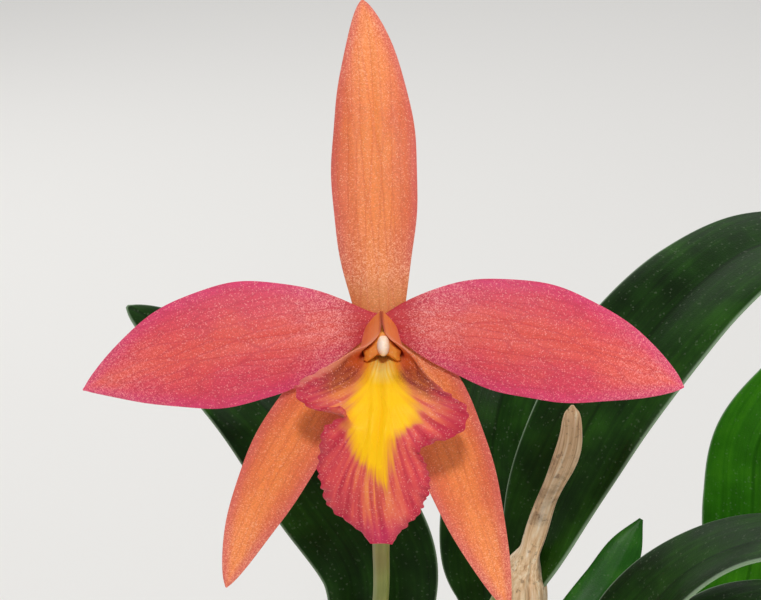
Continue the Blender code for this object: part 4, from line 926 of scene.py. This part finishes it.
# %% Six leaves
# midrib's points past the bulb, where the face looks at foot and tip, width, shift of the foot, lateness
LEAVES = {
    "leaf_2": (
        [(22, 34, 206), (24, 36, 220), (24.6, 38, 234), (28, 42, 244.5), (37.5, 47, 250.5), (52, 51, 250),
         (67, 53, 243)],
        ((-0.3, -0.95, 0.0), (-0.3, -0.6, 0.7)), 24.0, (0, 0, 0), 0.8),
    "leaf_3": (
        [(34.7, 0.5, 234.2), (38.9, 2, 243.8), (44.8, 5, 254.2), (55.2, 10, 266.7), (63.8, 15, 273.8),
         (75.6, 22, 279.5), (88.9, 28, 280.1), (103.9, 34, 276.2), (117.9, 39, 267.3)],
        ((-0.51, -0.69, 0.22), (-0.13, -0.27, 0.92)), 26.6, (0.6, 3.5, -8), 0.752),
    "leaf_4": (
        [(-1, -13, 210), (-0.3, -12, 225), (-11, -6, 241), (-23.6, 2, 254), (-38.6, 10, 263.6),
         (-51, 16, 269.6)],
        ((0.0, -1.0, 0.0), (0.3, -0.75, 0.6)), 25.0, (0, 3.2, 0), 0.8),
    "leaf_5": (
        [(71.9, 25, 183.2), (75.7, 26, 193.3), (79.2, 27, 209.3), (79.1, 28, 222.3), (79.8, 29, 235),
         (86.2, 31, 245.8), (95.9, 34, 256.1), (107.5, 38, 263.5)],
        ((-0.45, -0.88, 0.06), (-0.42, -0.69, 0.54)), 22.5, (0, 0, 0), 0.838),
    "leaf_6": (
        [(56.5, 5, 183.1), (61.5, 2, 197.7), (70.6, -2, 208.2), (83.7, -6, 213.1), (98.5, -10, 211.4),
         (111.3, -13, 203.9)],
        ((-0.5, -0.68, 0.1), (0.02, 0.13, 1.06)), 20, (0, 0, 0), 0.745),
    "leaf_7": (
        [(45.7, -19.5, 197.9), (47.5, -22, 211.3), (52.3, -26.5, 223.2), (59.5, -32, 233.8),
         (70, -37.5, 241.1), (82.3, -43, 243.2), (96.3, -48, 240.1), (110.3, -52, 231.3)],
        ((-0.29, -0.45, 0.04), (0.12, 0.22, 1.08)), 24.6, (0, 0, 0), 0.877),
}
LEAF_THICKNESS, LEAF_FOOT = 2.1, 6.5  # mm, along the midrib, and the width of the foot


def leaf(name, rib, faces, width, shift, lateness, material):
    """point(t, s) = rib(t) + s half cos(fold) across + half (rise(s) sin(fold) - 0.1 |s|^3 + waves) up.

    half(t) = width sin(pi t^lateness)^0.62 / 2 on a narrow foot, fold(t) = 12 + 32 exp(-t / 0.14) degrees."""
    rows, columns = 150, 49
    t, s = np.linspace(0, 1, rows)[:, None], from_middle(columns)
    stem = bulb_line(name.replace("leaf", "bulb"), 40)
    away = unit(stem[-1] - stem[-2])
    foot = stem[-1] + np.array(shift) - away
    path = line_through([foot, foot + 7 * away, *rib], rows)
    direction = unit(np.gradient(path, axis=0))
    across = unit(np.cross(direction, np.array(faces[0]) * (1 - t) + np.array(faces[1]) * t))
    blade_width, foot_width = width * np.sin(math.pi * t**lateness) ** 0.62, LEAF_FOOT * ramp(t, 1 / 3, 0)
    half = np.maximum(np.hypot(blade_width, foot_width), 0.8) / 2 * (1 + 0.008 * np.sin(17 * t + np.sign(s)))
    fold = np.radians(12 + 32 * np.exp(-t / 0.14))
    rise = np.sqrt(s**2 + 0.004) - math.sqrt(0.004)
    waves = 0.05 * np.sin(9 * t + 2 * np.sign(s)) * s**2
    height = half * (np.sin(fold) * rise - 0.1 * np.abs(s) ** 3 + waves)
    middle = on_frame(path, across, np.cross(across, direction), half * np.cos(fold) * s, height)
    thick = (LEAF_THICKNESS - np.abs(s) ** 1.5) * np.sqrt(1 - 0.9 * s**14) * rounded(1 - t, 0.04, 0.15)
    reach = lengths(path)[:, None]
    edge = np.minimum(half * (1 - np.abs(s)), reach[-1] - reach)
    upper, lower = (stacked(np.abs(half * s), edge, which) for which in (1, -1))
    piece(name + "_blade", blade(middle, thick), blade_faces(rows, columns), material, "leaf", name,
          grown=stacked(half * s, 0, reach) * MM, zone=np.concatenate([upper, lower]))


# leaf_5 takes the lighter copy, painted light shining through it
for name, shape in LEAVES.items():
    leaf(name, *shape, lit_through_leaf if name == "leaf_5" else old_leaf)
print("leaves:", len(LEAVES))

# %% [markdown]
# ## The flower stem
# The stem rises from the newest bulb out of a green sheath, the spathe. At a joint the flower's own stalk
# begins: it bends forward, thickens into the ovary and ends behind the bloom. The ovary is ribbed, because
# three seed chambers lie inside it, so its radius carries six shallow waves. A curve with a round bevel could
# be the stem, but it can't have ribs, so both are tubes from one function.

# %% Stem and stalk
PEDUNCLE = [(-3, -20.1, 195), (-3, -20.6, 203), (-1.5, -25, 214), (0, -30.5, 228), (0, -35, 241),
            (0, -37.5, 256)]


def stalk(name, path, radius, ribs, node):
    """A tube round the path whose radius is radius(t) (1 + ribs(t) cos(6 a))."""
    sides = 40
    radius = radius * (1 + ribs * np.cos(6 * angles(sides)))
    tube_piece(name, path, tube(path, radius, radius, sides), stalk_rind, "flower_stem", node)


t = np.linspace(0, 1, 90)[:, None]
flare = through([(0, 1.6), (0.8, 1.6), (0.93, 1.75), (1, 2.05)], t[:, 0])
stalk("peduncle_stem", line_through(PEDUNCLE, len(t)), flare * rounded(np.minimum(t, 1 - t), 0.012, 0.3), 0.02,
      "peduncle")

t = np.linspace(0, 1, 120)[:, None]
joint = np.array(PEDUNCLE[-1], float)
start = joint - 0.6 * unit(joint - np.array(PEDUNCLE[-2]))
near, end = to_plant(np.array([(0, 0, -13.85), (0, 0, -1.3)]))
line = line_through([start, (0.0, -39.5, 270.0), (0.0, -43.5, 281.5), near, end], len(t))
swell = through([(0, 1.8), (0.1, 1.5), (0.55, 1.7), (0.9, 2.3), (1, 3.3)], t[:, 0])
ribs = 0.08 * ramp(t, 0.5, 0.7) * ramp(t, 1, 0.9)
stalk("pedicel_stalk", line, swell * rounded(np.minimum(t, 1 - t), 0.01, 0.4), ribs, "pedicel")
print("flower stem faces:", made_pieces["peduncle_stem"], "stalk faces:", made_pieces["pedicel_stalk"])

# %% Spathe
SPATHE_START, SPATHE_RISE, SPATHE_WALL = 0.4, 22.8, 0.45  # mm above the stem's foot, up the stem, and thick
rows, sides = 50, 64
t, a = np.linspace(0, 1, rows)[:, None], angles(sides)
line = line_through(PEDUNCLE, 200)
path = between(PEDUNCLE[0][2] + SPATHE_START + SPATHE_RISE * t[:, 0], line[:, 2], line)
wide = through([(0, 3.0), (0.3, 4.4), (0.75, 3.8), (1, 2.9)], t[:, 0])
deep = through([(0, 2.4), (0.3, 2.8), (0.75, 2.7), (1, 2.5)], t[:, 0])
peak = (2.5 + 2.5 * np.cos(2 * a)) * ramp(t, 2 / 3, 1) ** 2
outer, inner = (tube(path, wide - wall, deep - wall, sides) + peak[..., None] * unit(path[-1] - path[-2])
                for wall in (0, SPATHE_WALL))
flat = lathe(wide, 21 * t + peak, sides)
piece("spathe_sleeve", two_walls(outer, inner), tube_faces(2 * rows, sides, sleeve=True), stalk_rind,
      "flower_stem", "spathe", grown=two_walls(flat, flat) * MM)
print("spathe faces:", made_pieces["spathe_sleeve"])

# %% [markdown]
# An older flower stem has left its spathe behind, dried flat in the fold of a leaf, and beside the flowering
# bulb a new shoot pushes up, still rolled. Both are tubes pressed out of round: the dry one thin and creased,
# the young one an oval that flattens and widens where its leaf begins to open.

# %% Dry spathe
rows, sides = 110, 48
t, a = np.linspace(0, 1, rows)[:, None], angles(sides)
line = line_through([(28.2, -2.6, 212.5), (28.5, -2.7, 220.5), (29.9, -5.2, 227), (32, -8, 236.5),
                     (36.4, -11, 251), (36.6, -12, 259)], rows)
wide = through([(0, 5.2), (0.12, 4.5), (0.19, 3.4), (0.27, 2.3), (0.34, 2.2), (0.6, 2.1), (0.86, 2.3),
                (0.95, 1.75), (1, 0.9)], t[:, 0]) * (1 + 0.05 * np.sin(19 * t))
deep = through([(0, 5.3), (0.12, 5.0), (0.19, 4.1), (0.27, 2.0), (0.34, 1.3), (0.6, 0.8), (0.9, 0.7), (1, 0.4)],
               t[:, 0])
deep = deep * (1 + 0.12 * np.cos(7 * a + 5 * t) + 0.06 * np.cos(13 * a - 9 * t))
close = rounded(np.minimum(t / 0.01, (1 - t) / 0.03), 1, 0.1)
tube_piece("dry_spathe_paper", line, tube(line, wide * close, deep * close, sides), dry_plant_paper,
           "papery_sheath", "dry_spathe")
print("dry spathe faces:", made_pieces["dry_spathe_paper"])

# %% Young shoot
SHOOT = [(25, -15, 96), (25.5, -16, 130), (24.5, -17, 168), (29, -15.5, 198), (37, -12.5, 211),
         (44.5, -8.5, 220.5), (51.5, -4, 232)]
FAR = 9.0  # mm from the midrib and from the margin, so that the leaf's finish shows neither
rows, sides = 150, 48
t, a = np.linspace(0, 1, rows)[:, None], angles(sides)
line = line_through(SHOOT, rows)
wide = through([(0, 4.2), (0.4, 4.3), (0.65, 4.5), (0.8, 4.9), (0.9, 4.5), (0.96, 3.2), (1, 0.4)], t[:, 0])
deep = through([(0, 3.4), (0.4, 3.3), (0.6, 2.9), (0.75, 2.0), (0.88, 1.2), (0.96, 0.8), (1, 0.3)], t[:, 0])
roll = 1 + 0.1 * hump(a, 1 + 0.5 * t, 0.12)
furrow = 1 - 0.5 * ramp(t, 0.56, 0.96) * hump(a, 3 * math.pi / 2, 0.5)
rings = tube(line, wide * roll, deep * roll * furrow, sides)
# The shoot takes the darker leaf finish, painted shade
tube_piece("shoot_roll", line, rings, shaded_shoot_leaf, "leaf", "shoot", zone=stacked(FAR + 0 * roll, FAR, 1))
print("shoot faces:", made_pieces["shoot_roll"])

# %% [markdown]
# ## The creeping stem and the roots
# All bulbs stand on one stem that creeps over the bark, ringed with the scars of old scales. Thick roots
# leave it, coated in a silvery, spongy skin that drinks water, and bare green at the growing tip. Both are
# tubes: the stem's radius swells at its joints, the roots' radius wanders a little. An even radius would be
# simpler, but it makes a root look like a cable.

# %% Materials for the creeping stem and the roots
def cork_material():
    """Corky skin of the creeping stem: dull olive brown with flaking patches."""
    made, add, shader = new_material("rhizome_skin", {"Roughness": 0.7, "IOR": 1.45})
    place = add("TexCoord", out="Object")
    patches = add("TexNoise", {"Vector": place, "Scale": per_mm(5), "Detail": 6, "Roughness": 0.65})
    colour = add("ValToRGB", [patches], stops=[
        (0.35, "#4A3F22"), (0.5, "#74683A"), (0.62, "#97885A"), (0.72, "#C4B48C")])
    relief = add("Bump", {"Height": patches, "Distance": 0.0006, "Strength": 0.7})
    add(shader, {"Base Color": colour, "Normal": relief})
    return made


def velamen_material():
    """Velamen, the spongy skin of an orchid root: chalky silver, faintly green, matt and finely pitted."""
    made, add, shader = new_material("root_velamen", {
        "Roughness": 0.78, "IOR": 1.4, "Subsurface Weight": 0.15, "Subsurface Radius": (0.6, 0.8, 0.5),
        "Subsurface Scale": 0.001,
    })
    place = add("TexCoord", out="Object")
    from_tip = add("SeparateXYZ", [add("Attribute", out="Vector", attribute_name="zone")])
    patches = add("TexNoise", {"Vector": place, "Scale": per_mm(6), "Detail": 5})
    colour = add("ValToRGB", [patches], stops=[(0.34, "#8F9478"), (0.48, "#B9BCA6"), (0.62, "#D6D7C8")])
    tip = add("MapRange", [from_tip, 0, 7, 0.95, 0], **SMOOTH)
    colour = add("Mix", {0: tip, 6: colour, 7: "#7F9B3E"}, **COLOURS)
    pits = add("TexNoise", {"Vector": place, "Scale": per_mm(0.7), "Detail": 4})
    relief = add("Bump", {"Height": pits, "Distance": 0.0002, "Strength": 0.6})
    add(shader, {"Base Color": colour, "Normal": relief})
    return made


rhizome_skin, root_velamen = cork_material(), velamen_material()
print("skins:", rhizome_skin.name, root_velamen.name)

# %% Creeping stem
feet = {name: (*growth[0], RHIZOME_HEIGHT) for name, growth in GROWTHS.items()}
MAIN_STEM = [(19.0, 40.0, 95.5), *(feet[f"bulb_{k}"] for k in (1, 2, 3, 4)), (-9.0, -25.0, 95.5)]
BRANCH = [*(feet[f"bulb_{k}"] for k in (2, 5, 6, 7)), SHOOT[0], (20.0, -13.0, 94.5)]
STEM_RADIUS, SCAR, SCAR_SPACING = 4.3, 0.35, 4.0  # mm


def creeping_rings(points):
    """radius(r) = 4.3 (1 + 0.06 cos(r / 3.2)) + 0.35 cos(pi r / spacing)^8, r mm along, with blunt ends."""
    rows, sides = 170, 36
    path = line_through(points, rows)
    r = lengths(path)[:, None]
    radius = STEM_RADIUS * (1 + 0.06 * np.cos(r / 3.2)) + SCAR * np.cos(math.pi * r / SCAR_SPACING) ** 8
    radius = radius * rounded(np.minimum(r, r[-1] - r), 5, 0.15)
    radius = radius * (1 + 0.03 * np.sin(5 * angles(sides) + r / 6))
    return tube(path, radius, radius, sides, (0, 0, 1))


first, second = creeping_rings(MAIN_STEM), creeping_rings(BRANCH)
blocks = tube_faces(*first.shape[:2])
piece("rhizome_stem", joined(first, second), blocks + [block + first[..., 0].size for block in blocks],
      rhizome_skin, "rhizome", "rhizome")
print("creeping stem faces:", made_pieces["rhizome_stem"])

# %% Six roots
ROOTS = {
    "root_1": [(-4, -17, 95.5), (-15, -22, 98), (-25, -28, 99.5), (-34, -31, 95), (-38, -30, 85)],
    "root_2": [(2, -8, 95.5), (-12, -10, 100), (-24, -8, 101), (-34, 0, 98.5), (-40, 10, 88)],
    "root_3": [(11, 4, 95.5), (-1, 14, 99.5), (-13, 22, 100.5), (-24, 30, 97.5), (-31, 36, 87)],
    "root_4": [(33, -19, 95.5), (29, -30, 99.5), (21, -38, 99.5), (12, -42, 96), (6, -43, 86)],
    "root_5": [
        (-7, -23, 95.5), (-15, -37, 102.5), (-18, -44.5, 107), (-21, -51, 109), (-23, -56.5, 108.5),
        (-24.5, -60, 103.5), (-25, -60.5, 95), (-25.5, -60, 85), (-24.5, -57, 76), (-20, -55, 62)],
    "root_6": [
        (38, 6, 95.5), (44, 9, 101.5), (48.5, 11.5, 106.5), (54, 13, 109), (59.5, 14.5, 108.5),
        (63, 15.5, 103.5), (64, 15, 94.5), (63, 17.5, 84.5), (60, 19.5, 74)],
}
ROOT_RADIUS = 2.0  # mm
HANGING = ("root_5", "root_6")
PAST_GREEN = 30  # mm that a buried root is said to be longer, so that it shows no green tip


def root(name, points, phase):
    """radius(r, a) = 2 (1 + wander(r)) (1 + 0.04 cos(2 a + r / 9)), r mm along, with a rounded tip."""
    rows, sides = 160, 28
    path = line_through(points, rows)
    r = lengths(path)[:, None]
    wander = 0.05 * np.sin(r / 2.7 + phase) + 0.03 * np.sin(r / 1.1)
    radius = ROOT_RADIUS * (1 + wander) * rounded(r[-1] - r, 4, 0.02, 0.45)
    radius = radius * (1 + 0.04 * np.cos(2 * angles(sides) + r / 9))
    rings = tube(path, radius, radius, sides, np.cross(path[-1] - path[0], (0, 0, 1.0)))
    from_tip = r[-1] - r + (0 if name in HANGING else PAST_GREEN)
    piece(name + "_skin", rings, tube_faces(rows, sides), root_velamen, "root", name,
          zone=stacked(from_tip + 0 * radius, 0, 0))


for k, (name, points) in enumerate(ROOTS.items()):
    root(name, points, 1.7 * k)
print("roots:", len(ROOTS))

# %% [markdown]
# ## Bark
# Orchids grow in coarse chips of conifer bark, so that air reaches the roots. Each chip is a small box-like
# solid with a few dozen faces: a sphere pulled towards a box, roughened and turned at random. Hundreds of
# them lie on a low mound inside the pot, and a chip that would stand inside a bulb or the creeping stem is
# left out. A seeded random generator makes the same heap every time. One rough surface would need fewer
# faces, but it looks like soil: chips lie over each other and leave dark gaps.

# %% A material for conifer bark
def bark_material():
    """Conifer bark: matt, layered like cork, from dark red-brown to dusty tan, each chip its own tone."""
    made, add, shader = new_material("conifer_bark", {"Roughness": 0.88, "IOR": 1.45})
    place = add("TexCoord", out="Object")
    grown, zone = (add("Attribute", out="Vector", attribute_name=key) for key in ("grown", "zone"))
    layers = add("Mapping", {"Vector": grown, "Scale": (per_mm(9), per_mm(9), per_mm(0.9))})
    layers = add("TexNoise", {"Vector": layers, "Scale": 1, "Detail": 5, "Roughness": 0.6})
    colour = add("ValToRGB", [layers], stops=[
        (0.3, "#2E1A10"), (0.45, "#5A3420"), (0.58, "#82532F"), (0.72, "#A9794C")])
    tone = add("MapRange", [add("SeparateXYZ", [zone]), 0, 1, 0.6, 1.35])
    colour = add("HueSaturation", {"Color": colour, "Value": tone, "Saturation": 0.95})
    dust = add("TexNoise", {"Vector": place, "Scale": per_mm(4), "Detail": 6, "Roughness": 0.7})
    dust = add("MapRange", [dust, 0.56, 0.7, 0, 0.5])
    colour = add("Mix", {0: dust, 6: colour, 7: "#B39A78"}, **COLOURS)
    relief = add("Bump", {"Height": layers, "Distance": 0.0008, "Strength": 0.8})
    add(shader, {"Base Color": colour, "Normal": relief})
    return made


conifer_bark = bark_material()
print("bark:", conifer_bark.name)

# %% The heap of chips: where they lie
POT_HEIGHT, FOOT_RADIUS, SHOULDER_RADIUS, COLLAR_HEIGHT, WALL, FLOOR = 105.0, 42.0, 55.0, 22.0, 5.5, 6.0
SHOULDER_HEIGHT = POT_HEIGHT - COLLAR_HEIGHT
GOLDEN_ANGLE = math.pi * (3 - math.sqrt(5))  # from one chip to the next, which spreads them evenly


def cavity_radius(z):
    """The pot's inside widens evenly: foot radius less the wall, plus the slope times the height."""
    return FOOT_RADIUS - WALL + (SHOULDER_RADIUS - FOOT_RADIUS) / SHOULDER_HEIGHT * z


HEAP_RADIUS, HEAP_LOW, HEAP_HIGH, MOUND = 47.5, 89.5, 95.5, 2.0  # mm, the mound in the heap's middle
CLEARANCE, BELOW_STEMS = 7.0, 90.5  # mm off the stems' lines, and the height where chips pass under them
SEED, count = 11, 520
rng = np.random.default_rng(SEED)
k = np.arange(count)
spread = HEAP_RADIUS * np.sqrt((k + 0.5) / count)
angle = k * GOLDEN_ANGLE + rng.uniform(-0.3, 0.3, count)
height = rng.uniform(HEAP_LOW, HEAP_HIGH, count)
centres = np.stack([spread * np.cos(angle), spread * np.sin(angle), height], axis=1)
centres[:, 2] += MOUND * (1 - (spread / 50) ** 2)
stems = np.concatenate([line_through(MAIN_STEM, 60), line_through(BRANCH, 60)])
clear = np.linalg.norm(centres[:, None, :2] - stems[None, :, :2], axis=2).min(axis=1) > CLEARANCE
centres = centres[clear | (centres[:, 2] < BELOW_STEMS)]
print("bark chips:", len(centres))


# %% The heap of chips: their shapes
def turned(points, i, j, angle):
    """Each chip turned in the plane of axes i and j: i' = i cos - j sin and j' = i sin + j cos."""
    c, s = np.cos(angle)[:, None, None], np.sin(angle)[:, None, None]
    first, second, result = points[..., i], points[..., j], points.copy()
    result[..., i], result[..., j] = first * c - second * s, first * s + second * c
    return result


CHIP_SIZES = ((4, 8), (3, 5.5), (1.2, 2.8))  # mm, least and most of half a chip's length, width, thickness
BOXINESS = 0.45  # at 1 the ball stays a ball, and at 0 it would be a box
count, rows, sides = len(centres), 6, 8
theta = np.linspace(0.12, math.pi - 0.12, rows)[:, None]
ball = lathe(np.sin(theta), np.cos(theta), sides)
boxed = np.sign(ball) * np.abs(ball) ** BOXINESS
size = np.stack([rng.uniform(low, high, count) for low, high in CHIP_SIZES], axis=1)
chips = boxed * size[:, None, None] * rng.uniform(0.82, 1.12, (count, rows, sides, 1))
turn, lean, bank = rng.uniform(0, 2 * math.pi, count), rng.normal(0, 0.4, count), rng.normal(0, 0.4, count)
placed = turned(turned(turned(chips, 1, 2, bank), 2, 0, lean), 0, 1, turn) + centres[:, None, None]
beyond = (cavity_radius(placed[..., 2]) - 0.6) / np.hypot(placed[..., 0], placed[..., 1])
placed[..., :2] *= np.minimum(1, beyond)[..., None]
chip_starts = np.arange(count)[:, None, None] * rows * sides
chip_faces = [(block + chip_starts).reshape(-1, block.shape[1])[:, ::-1] for block in tube_faces(rows, sides)]
print("faces on a chip:", sum(map(len, chip_faces)) // count)

# %% [markdown]
# Under the chips a plug fills the pot down to its floor, so that no light or view passes through the drain
# holes. It is a profile of radius and height turned about the pot's axis, and it is one piece with the chips.

# %% The filling under the chips
PLUG_SIDES, DARK = 72, 0.1  # DARK is a tone, as each chip has one
PLUG_GAP, PLUG_FOOT = 0.35, FLOOR + 0.35  # mm off the wall, and above the ground
profile = np.array([
    (0.3, PLUG_FOOT), (20, PLUG_FOOT), *((cavity_radius(z) - PLUG_GAP, z) for z in (PLUG_FOOT, 45, 90)),
    (35, 90.6), (15, 91), (0.3, 91)])
plug = lathe(profile[:, :1], profile[:, 1:], PLUG_SIDES)
plug_faces = [block[:, ::-1] + placed[..., 0].size for block in tube_faces(len(profile), PLUG_SIDES)]
tones = np.concatenate([np.repeat(rng.uniform(0, 1, count), rows * sides), np.full(plug[..., 0].size, DARK)])
piece("bark_chips", joined(placed, plug), chip_faces + plug_faces, conifer_bark, "bark", "bark", crease=25.0,
      grown=joined(chips + 3 * centres[:, None, None], plug) * MM, zone=stacked(tones, 0, 0))
print("bark faces:", made_pieces["bark_chips"])

# %% [markdown]
# ## The clay pot
# The pot is plain fired terracotta: a tapering wall under a thick collar. Pressed clay has soft corners, so
# each corner of the profile becomes a short curve. Round the middle of the floor are three drain holes. Each
# third of the floor is one grid from the wedge's outline to the hole, through it and back out on the other
# side: point = hole + share (outline - hole), where the share falls to nothing at the hole's edge. A Boolean
# could cut the holes, but it leaves long thin faces round them that shade badly.

# %% A material for fired clay
def terracotta_material():
    """Fired terracotta: matt orange-red clay, dusted with pale salts and finely pored."""
    made, add, shader = new_material("fired_terracotta", {"Roughness": 0.86, "IOR": 1.5})
    place = add("TexCoord", out="Object")
    cloud = add("TexNoise", {"Vector": place, "Scale": per_mm(45), "Detail": 6, "Roughness": 0.6})
    colour = add("ValToRGB", [cloud], stops=[(0.32, "#A4552F"), (0.5, "#B9673F"), (0.66, "#C97F56")])
    salts = add("TexNoise", {"Vector": place, "Scale": per_mm(20), "Detail": 8, "Roughness": 0.72})
    salts = add("MapRange", [salts, 0.53, 0.7, 0, 0.55])
    colour = add("Mix", {0: salts, 6: colour, 7: "#DCC5B2"}, **COLOURS)
    sand = add("TexNoise", {"Vector": place, "Scale": per_mm(0.8), "Detail": 4})
    grain = add("MapRange", [sand, 0.3, 0.7, 0.9, 1.1])
    colour = add("HueSaturation", {"Color": colour, "Value": grain})
    rings = add("Mapping", {"Vector": place, "Scale": (per_mm(60), per_mm(60), per_mm(1.6))})
    rings = add("TexNoise", {"Vector": rings, "Scale": 1, "Detail": 3})
    pores = add("Bump", {"Height": sand, "Distance": 0.0003, "Strength": 0.6})
    relief = add("Bump", {"Height": rings, "Distance": 0.0004, "Strength": 0.35, "Normal": pores})
    add(shader, {"Base Color": colour, "Normal": relief})
    return made


fired_terracotta = terracotta_material()
print("clay:", fired_terracotta.name)

# %% Wall and collar, turned from a profile with soft corners
SEAM = 32.0  # mm, the radius where the turned wall meets the floor's three thirds
COLLAR_RADIUS, RIM_RADIUS, POT_SIDES = 60.2, 62.0, 120
corners = np.array([
    (SEAM, 0), (FOOT_RADIUS, 0), (SHOULDER_RADIUS, SHOULDER_HEIGHT), (COLLAR_RADIUS, SHOULDER_HEIGHT),
    (RIM_RADIUS, POT_HEIGHT),
    (cavity_radius(POT_HEIGHT), POT_HEIGHT), (cavity_radius(FLOOR), FLOOR), (SEAM, FLOOR)])
soft = np.array([2.0, 1.0, 1.6, 2.4, 1.8, 3.0])[:, None]  # mm before and after each corner that are curved
middle = corners[1:-1]
before = middle + unit(corners[:-2] - middle) * soft
after = middle + unit(corners[2:] - middle) * soft
t = np.linspace(0, 1, 8)[:, None, None]
curves = ((1 - t) ** 2 * before + 2 * t * (1 - t) * middle + t**2 * after).transpose(1, 0, 2).reshape(-1, 2)
profile = np.concatenate([corners[:1], curves, corners[-1:]])
run = lengths(profile)
profile = between(np.union1d(run, np.arange(0, run[-1], 3.0)), run, profile)
radius, height = profile[:, :1], profile[:, 1:]
uneven = ramp(height, 0, 10) * ramp(radius, SEAM, SEAM + 5)
wall = lathe(radius + 0.14 * uneven * np.sin(3 * angles(POT_SIDES) + height / 25), height, POT_SIDES)
wall_faces = [tube_faces(len(profile), POT_SIDES)[0][:, ::-1]]
print("pot profile points:", len(profile))

# %% Floor in three thirds, each round a drain hole
HOLE_RADIUS, HOLES_OUT = 5.0, 21.0  # mm, and how far the holes lie from the middle
# Rings inwards under the floor, up through the hole and outwards above it: their share, and their height in mm
share = np.array([1, 0.6, 0.3, 0.12, 0.03, 0, 0, 0, 0, 0.03, 0.12, 0.3, 0.6, 1])[:, None, None]
level = np.array([0, 0, 0, 0, 0.15, 0.7, 2.2, 3.8, 5.3, 5.85, 6, 6, 6, 6])[:, None]
spoke = np.linspace(0, 1, 13)[:-1, None]
thirds = []
for middle_angle in (0, 2 * math.pi / 3, 4 * math.pi / 3):
    turns = middle_angle + np.linspace(-math.pi / 3, math.pi / 3, POT_SIDES // 3 + 1)
    arc = SEAM * np.stack([np.cos(turns), np.sin(turns)], axis=1)
    outline = np.concatenate([spoke * arc[0], arc, (spoke * arc[-1])[:0:-1]])
    centre = HOLES_OUT * np.array([math.cos(middle_angle), math.sin(middle_angle)])
    hole = centre + HOLE_RADIUS * unit(outline - centre)
    flat = hole + share * (outline - hole)
    thirds.append(stacked(flat[..., 0], flat[..., 1], level))
floor_block = tube_faces(*thirds[0].shape[:2])[0]
floor_faces = [floor_block + wall[..., 0].size + k * thirds[0][..., 0].size for k in range(3)]
piece("clay_pot", joined(wall, *thirds), wall_faces + floor_faces, fired_terracotta, "terracotta", "pot",
      crease=50.0)
print("pot faces:", made_pieces["clay_pot"])

# %% [markdown]
# ## Floor, light and camera
# A pale floor, a soft lamp above the camera and pale surroundings show the flower evenly. The lamp is close
# and fairly small, so the lip still throws a shadow on the sepals below it. The camera looks down on the
# bloom along the bloom's own axis, from 40 cm, with a lens of 113 mm.

# %% Floor and light
floor_mesh = bpy.data.meshes.new("floor")
floor_mesh.from_pydata([(-40, -40, 0), (40, -40, 0), (40, 40, 0), (-40, 40, 0)], [], [(0, 1, 2, 3)])
floor = bpy.data.objects.new("floor", floor_mesh)
bpy.context.scene.collection.objects.link(floor)
paper, _, _ = new_material("pale_studio_floor", {"Base Color": linear("#EFEDE9"), "Roughness": 0.8})
floor_mesh.materials.append(paper)

surroundings = bpy.data.worlds.new("pale_surroundings")
surroundings.use_nodes = True
background = surroundings.node_tree.nodes["Background"]
background.inputs["Color"].default_value = linear("#F2F3F5")
background.inputs["Strength"].default_value = 0.46
bpy.context.scene.world = surroundings
bpy.context.scene.view_settings.view_transform = "Standard"


def lamp(name, place, target, size, power):
    """A square lamp that faces the target: its local -Z points from place to target."""
    light = bpy.data.lights.new(name, "AREA")
    light.shape, light.size, light.energy = "SQUARE", size, power
    made = bpy.data.objects.new(name, light)
    made.location = place
    made.rotation_euler = (target - place).to_track_quat("-Z", "Y").to_euler()
    bpy.context.scene.collection.objects.link(made)


right, up, out = (Vector(axis) for axis in BLOOM_AXES.tolist())
bloom = Vector((BLOOM_CENTRE * MM).tolist())
# name, place, what it faces, size in m, power in W
lamp("key_lamp", bloom + out * 0.78 + up * 0.28, bloom, 0.07, 3.4)
lamp("side_lamp", bloom + out * 0.4 + right * 1.2 + up * 0.5, bloom, 0.9, 3.0)
lamp("back_lamp", bloom - out * 0.9 - right * 0.7 + up * 0.9, bloom, 0.9, 3.0)
lamp("floor_lamp", Vector((0.0, 1.3, 1.9)), Vector((0.0, 1.3, 0.0)), 2.0, 17.0)
print("lamps:", [lamp_data.name for lamp_data in bpy.data.lights])

# %% Camera
SENSOR, FOCAL_PIXELS, PICTURE_PIXELS = 36.0, 2395, 761  # the sensor's width in mm is 761 pixels of picture
EYE_DISTANCE, EYE_UP, EYE_LEFT = 0.4, 0.004175, 0.0000835  # m along and off the bloom's axis
camera = bpy.data.objects.new("camera", bpy.data.cameras.new("camera"))
camera.data.lens = SENSOR * FOCAL_PIXELS / PICTURE_PIXELS
camera.data.clip_start, camera.data.clip_end = 0.01, 200.0
eye = bloom + out * EYE_DISTANCE + up * EYE_UP - right * EYE_LEFT
camera.matrix_world = Matrix.Translation(eye) @ Matrix((right, up, out)).transposed().to_4x4()
bpy.context.scene.collection.objects.link(camera)
bpy.context.scene.camera = camera
print("camera at", [round(value, 4) for value in eye])

# %% [markdown]
# ## Counting the pieces
# The last cell counts the new pieces and their faces. The new pieces may stand only a little proud of the
# imported model.

# %% Count the pieces
bpy.context.view_layer.update()
print("pieces:", len(made_pieces), "faces:", sum(made_pieces.values()))
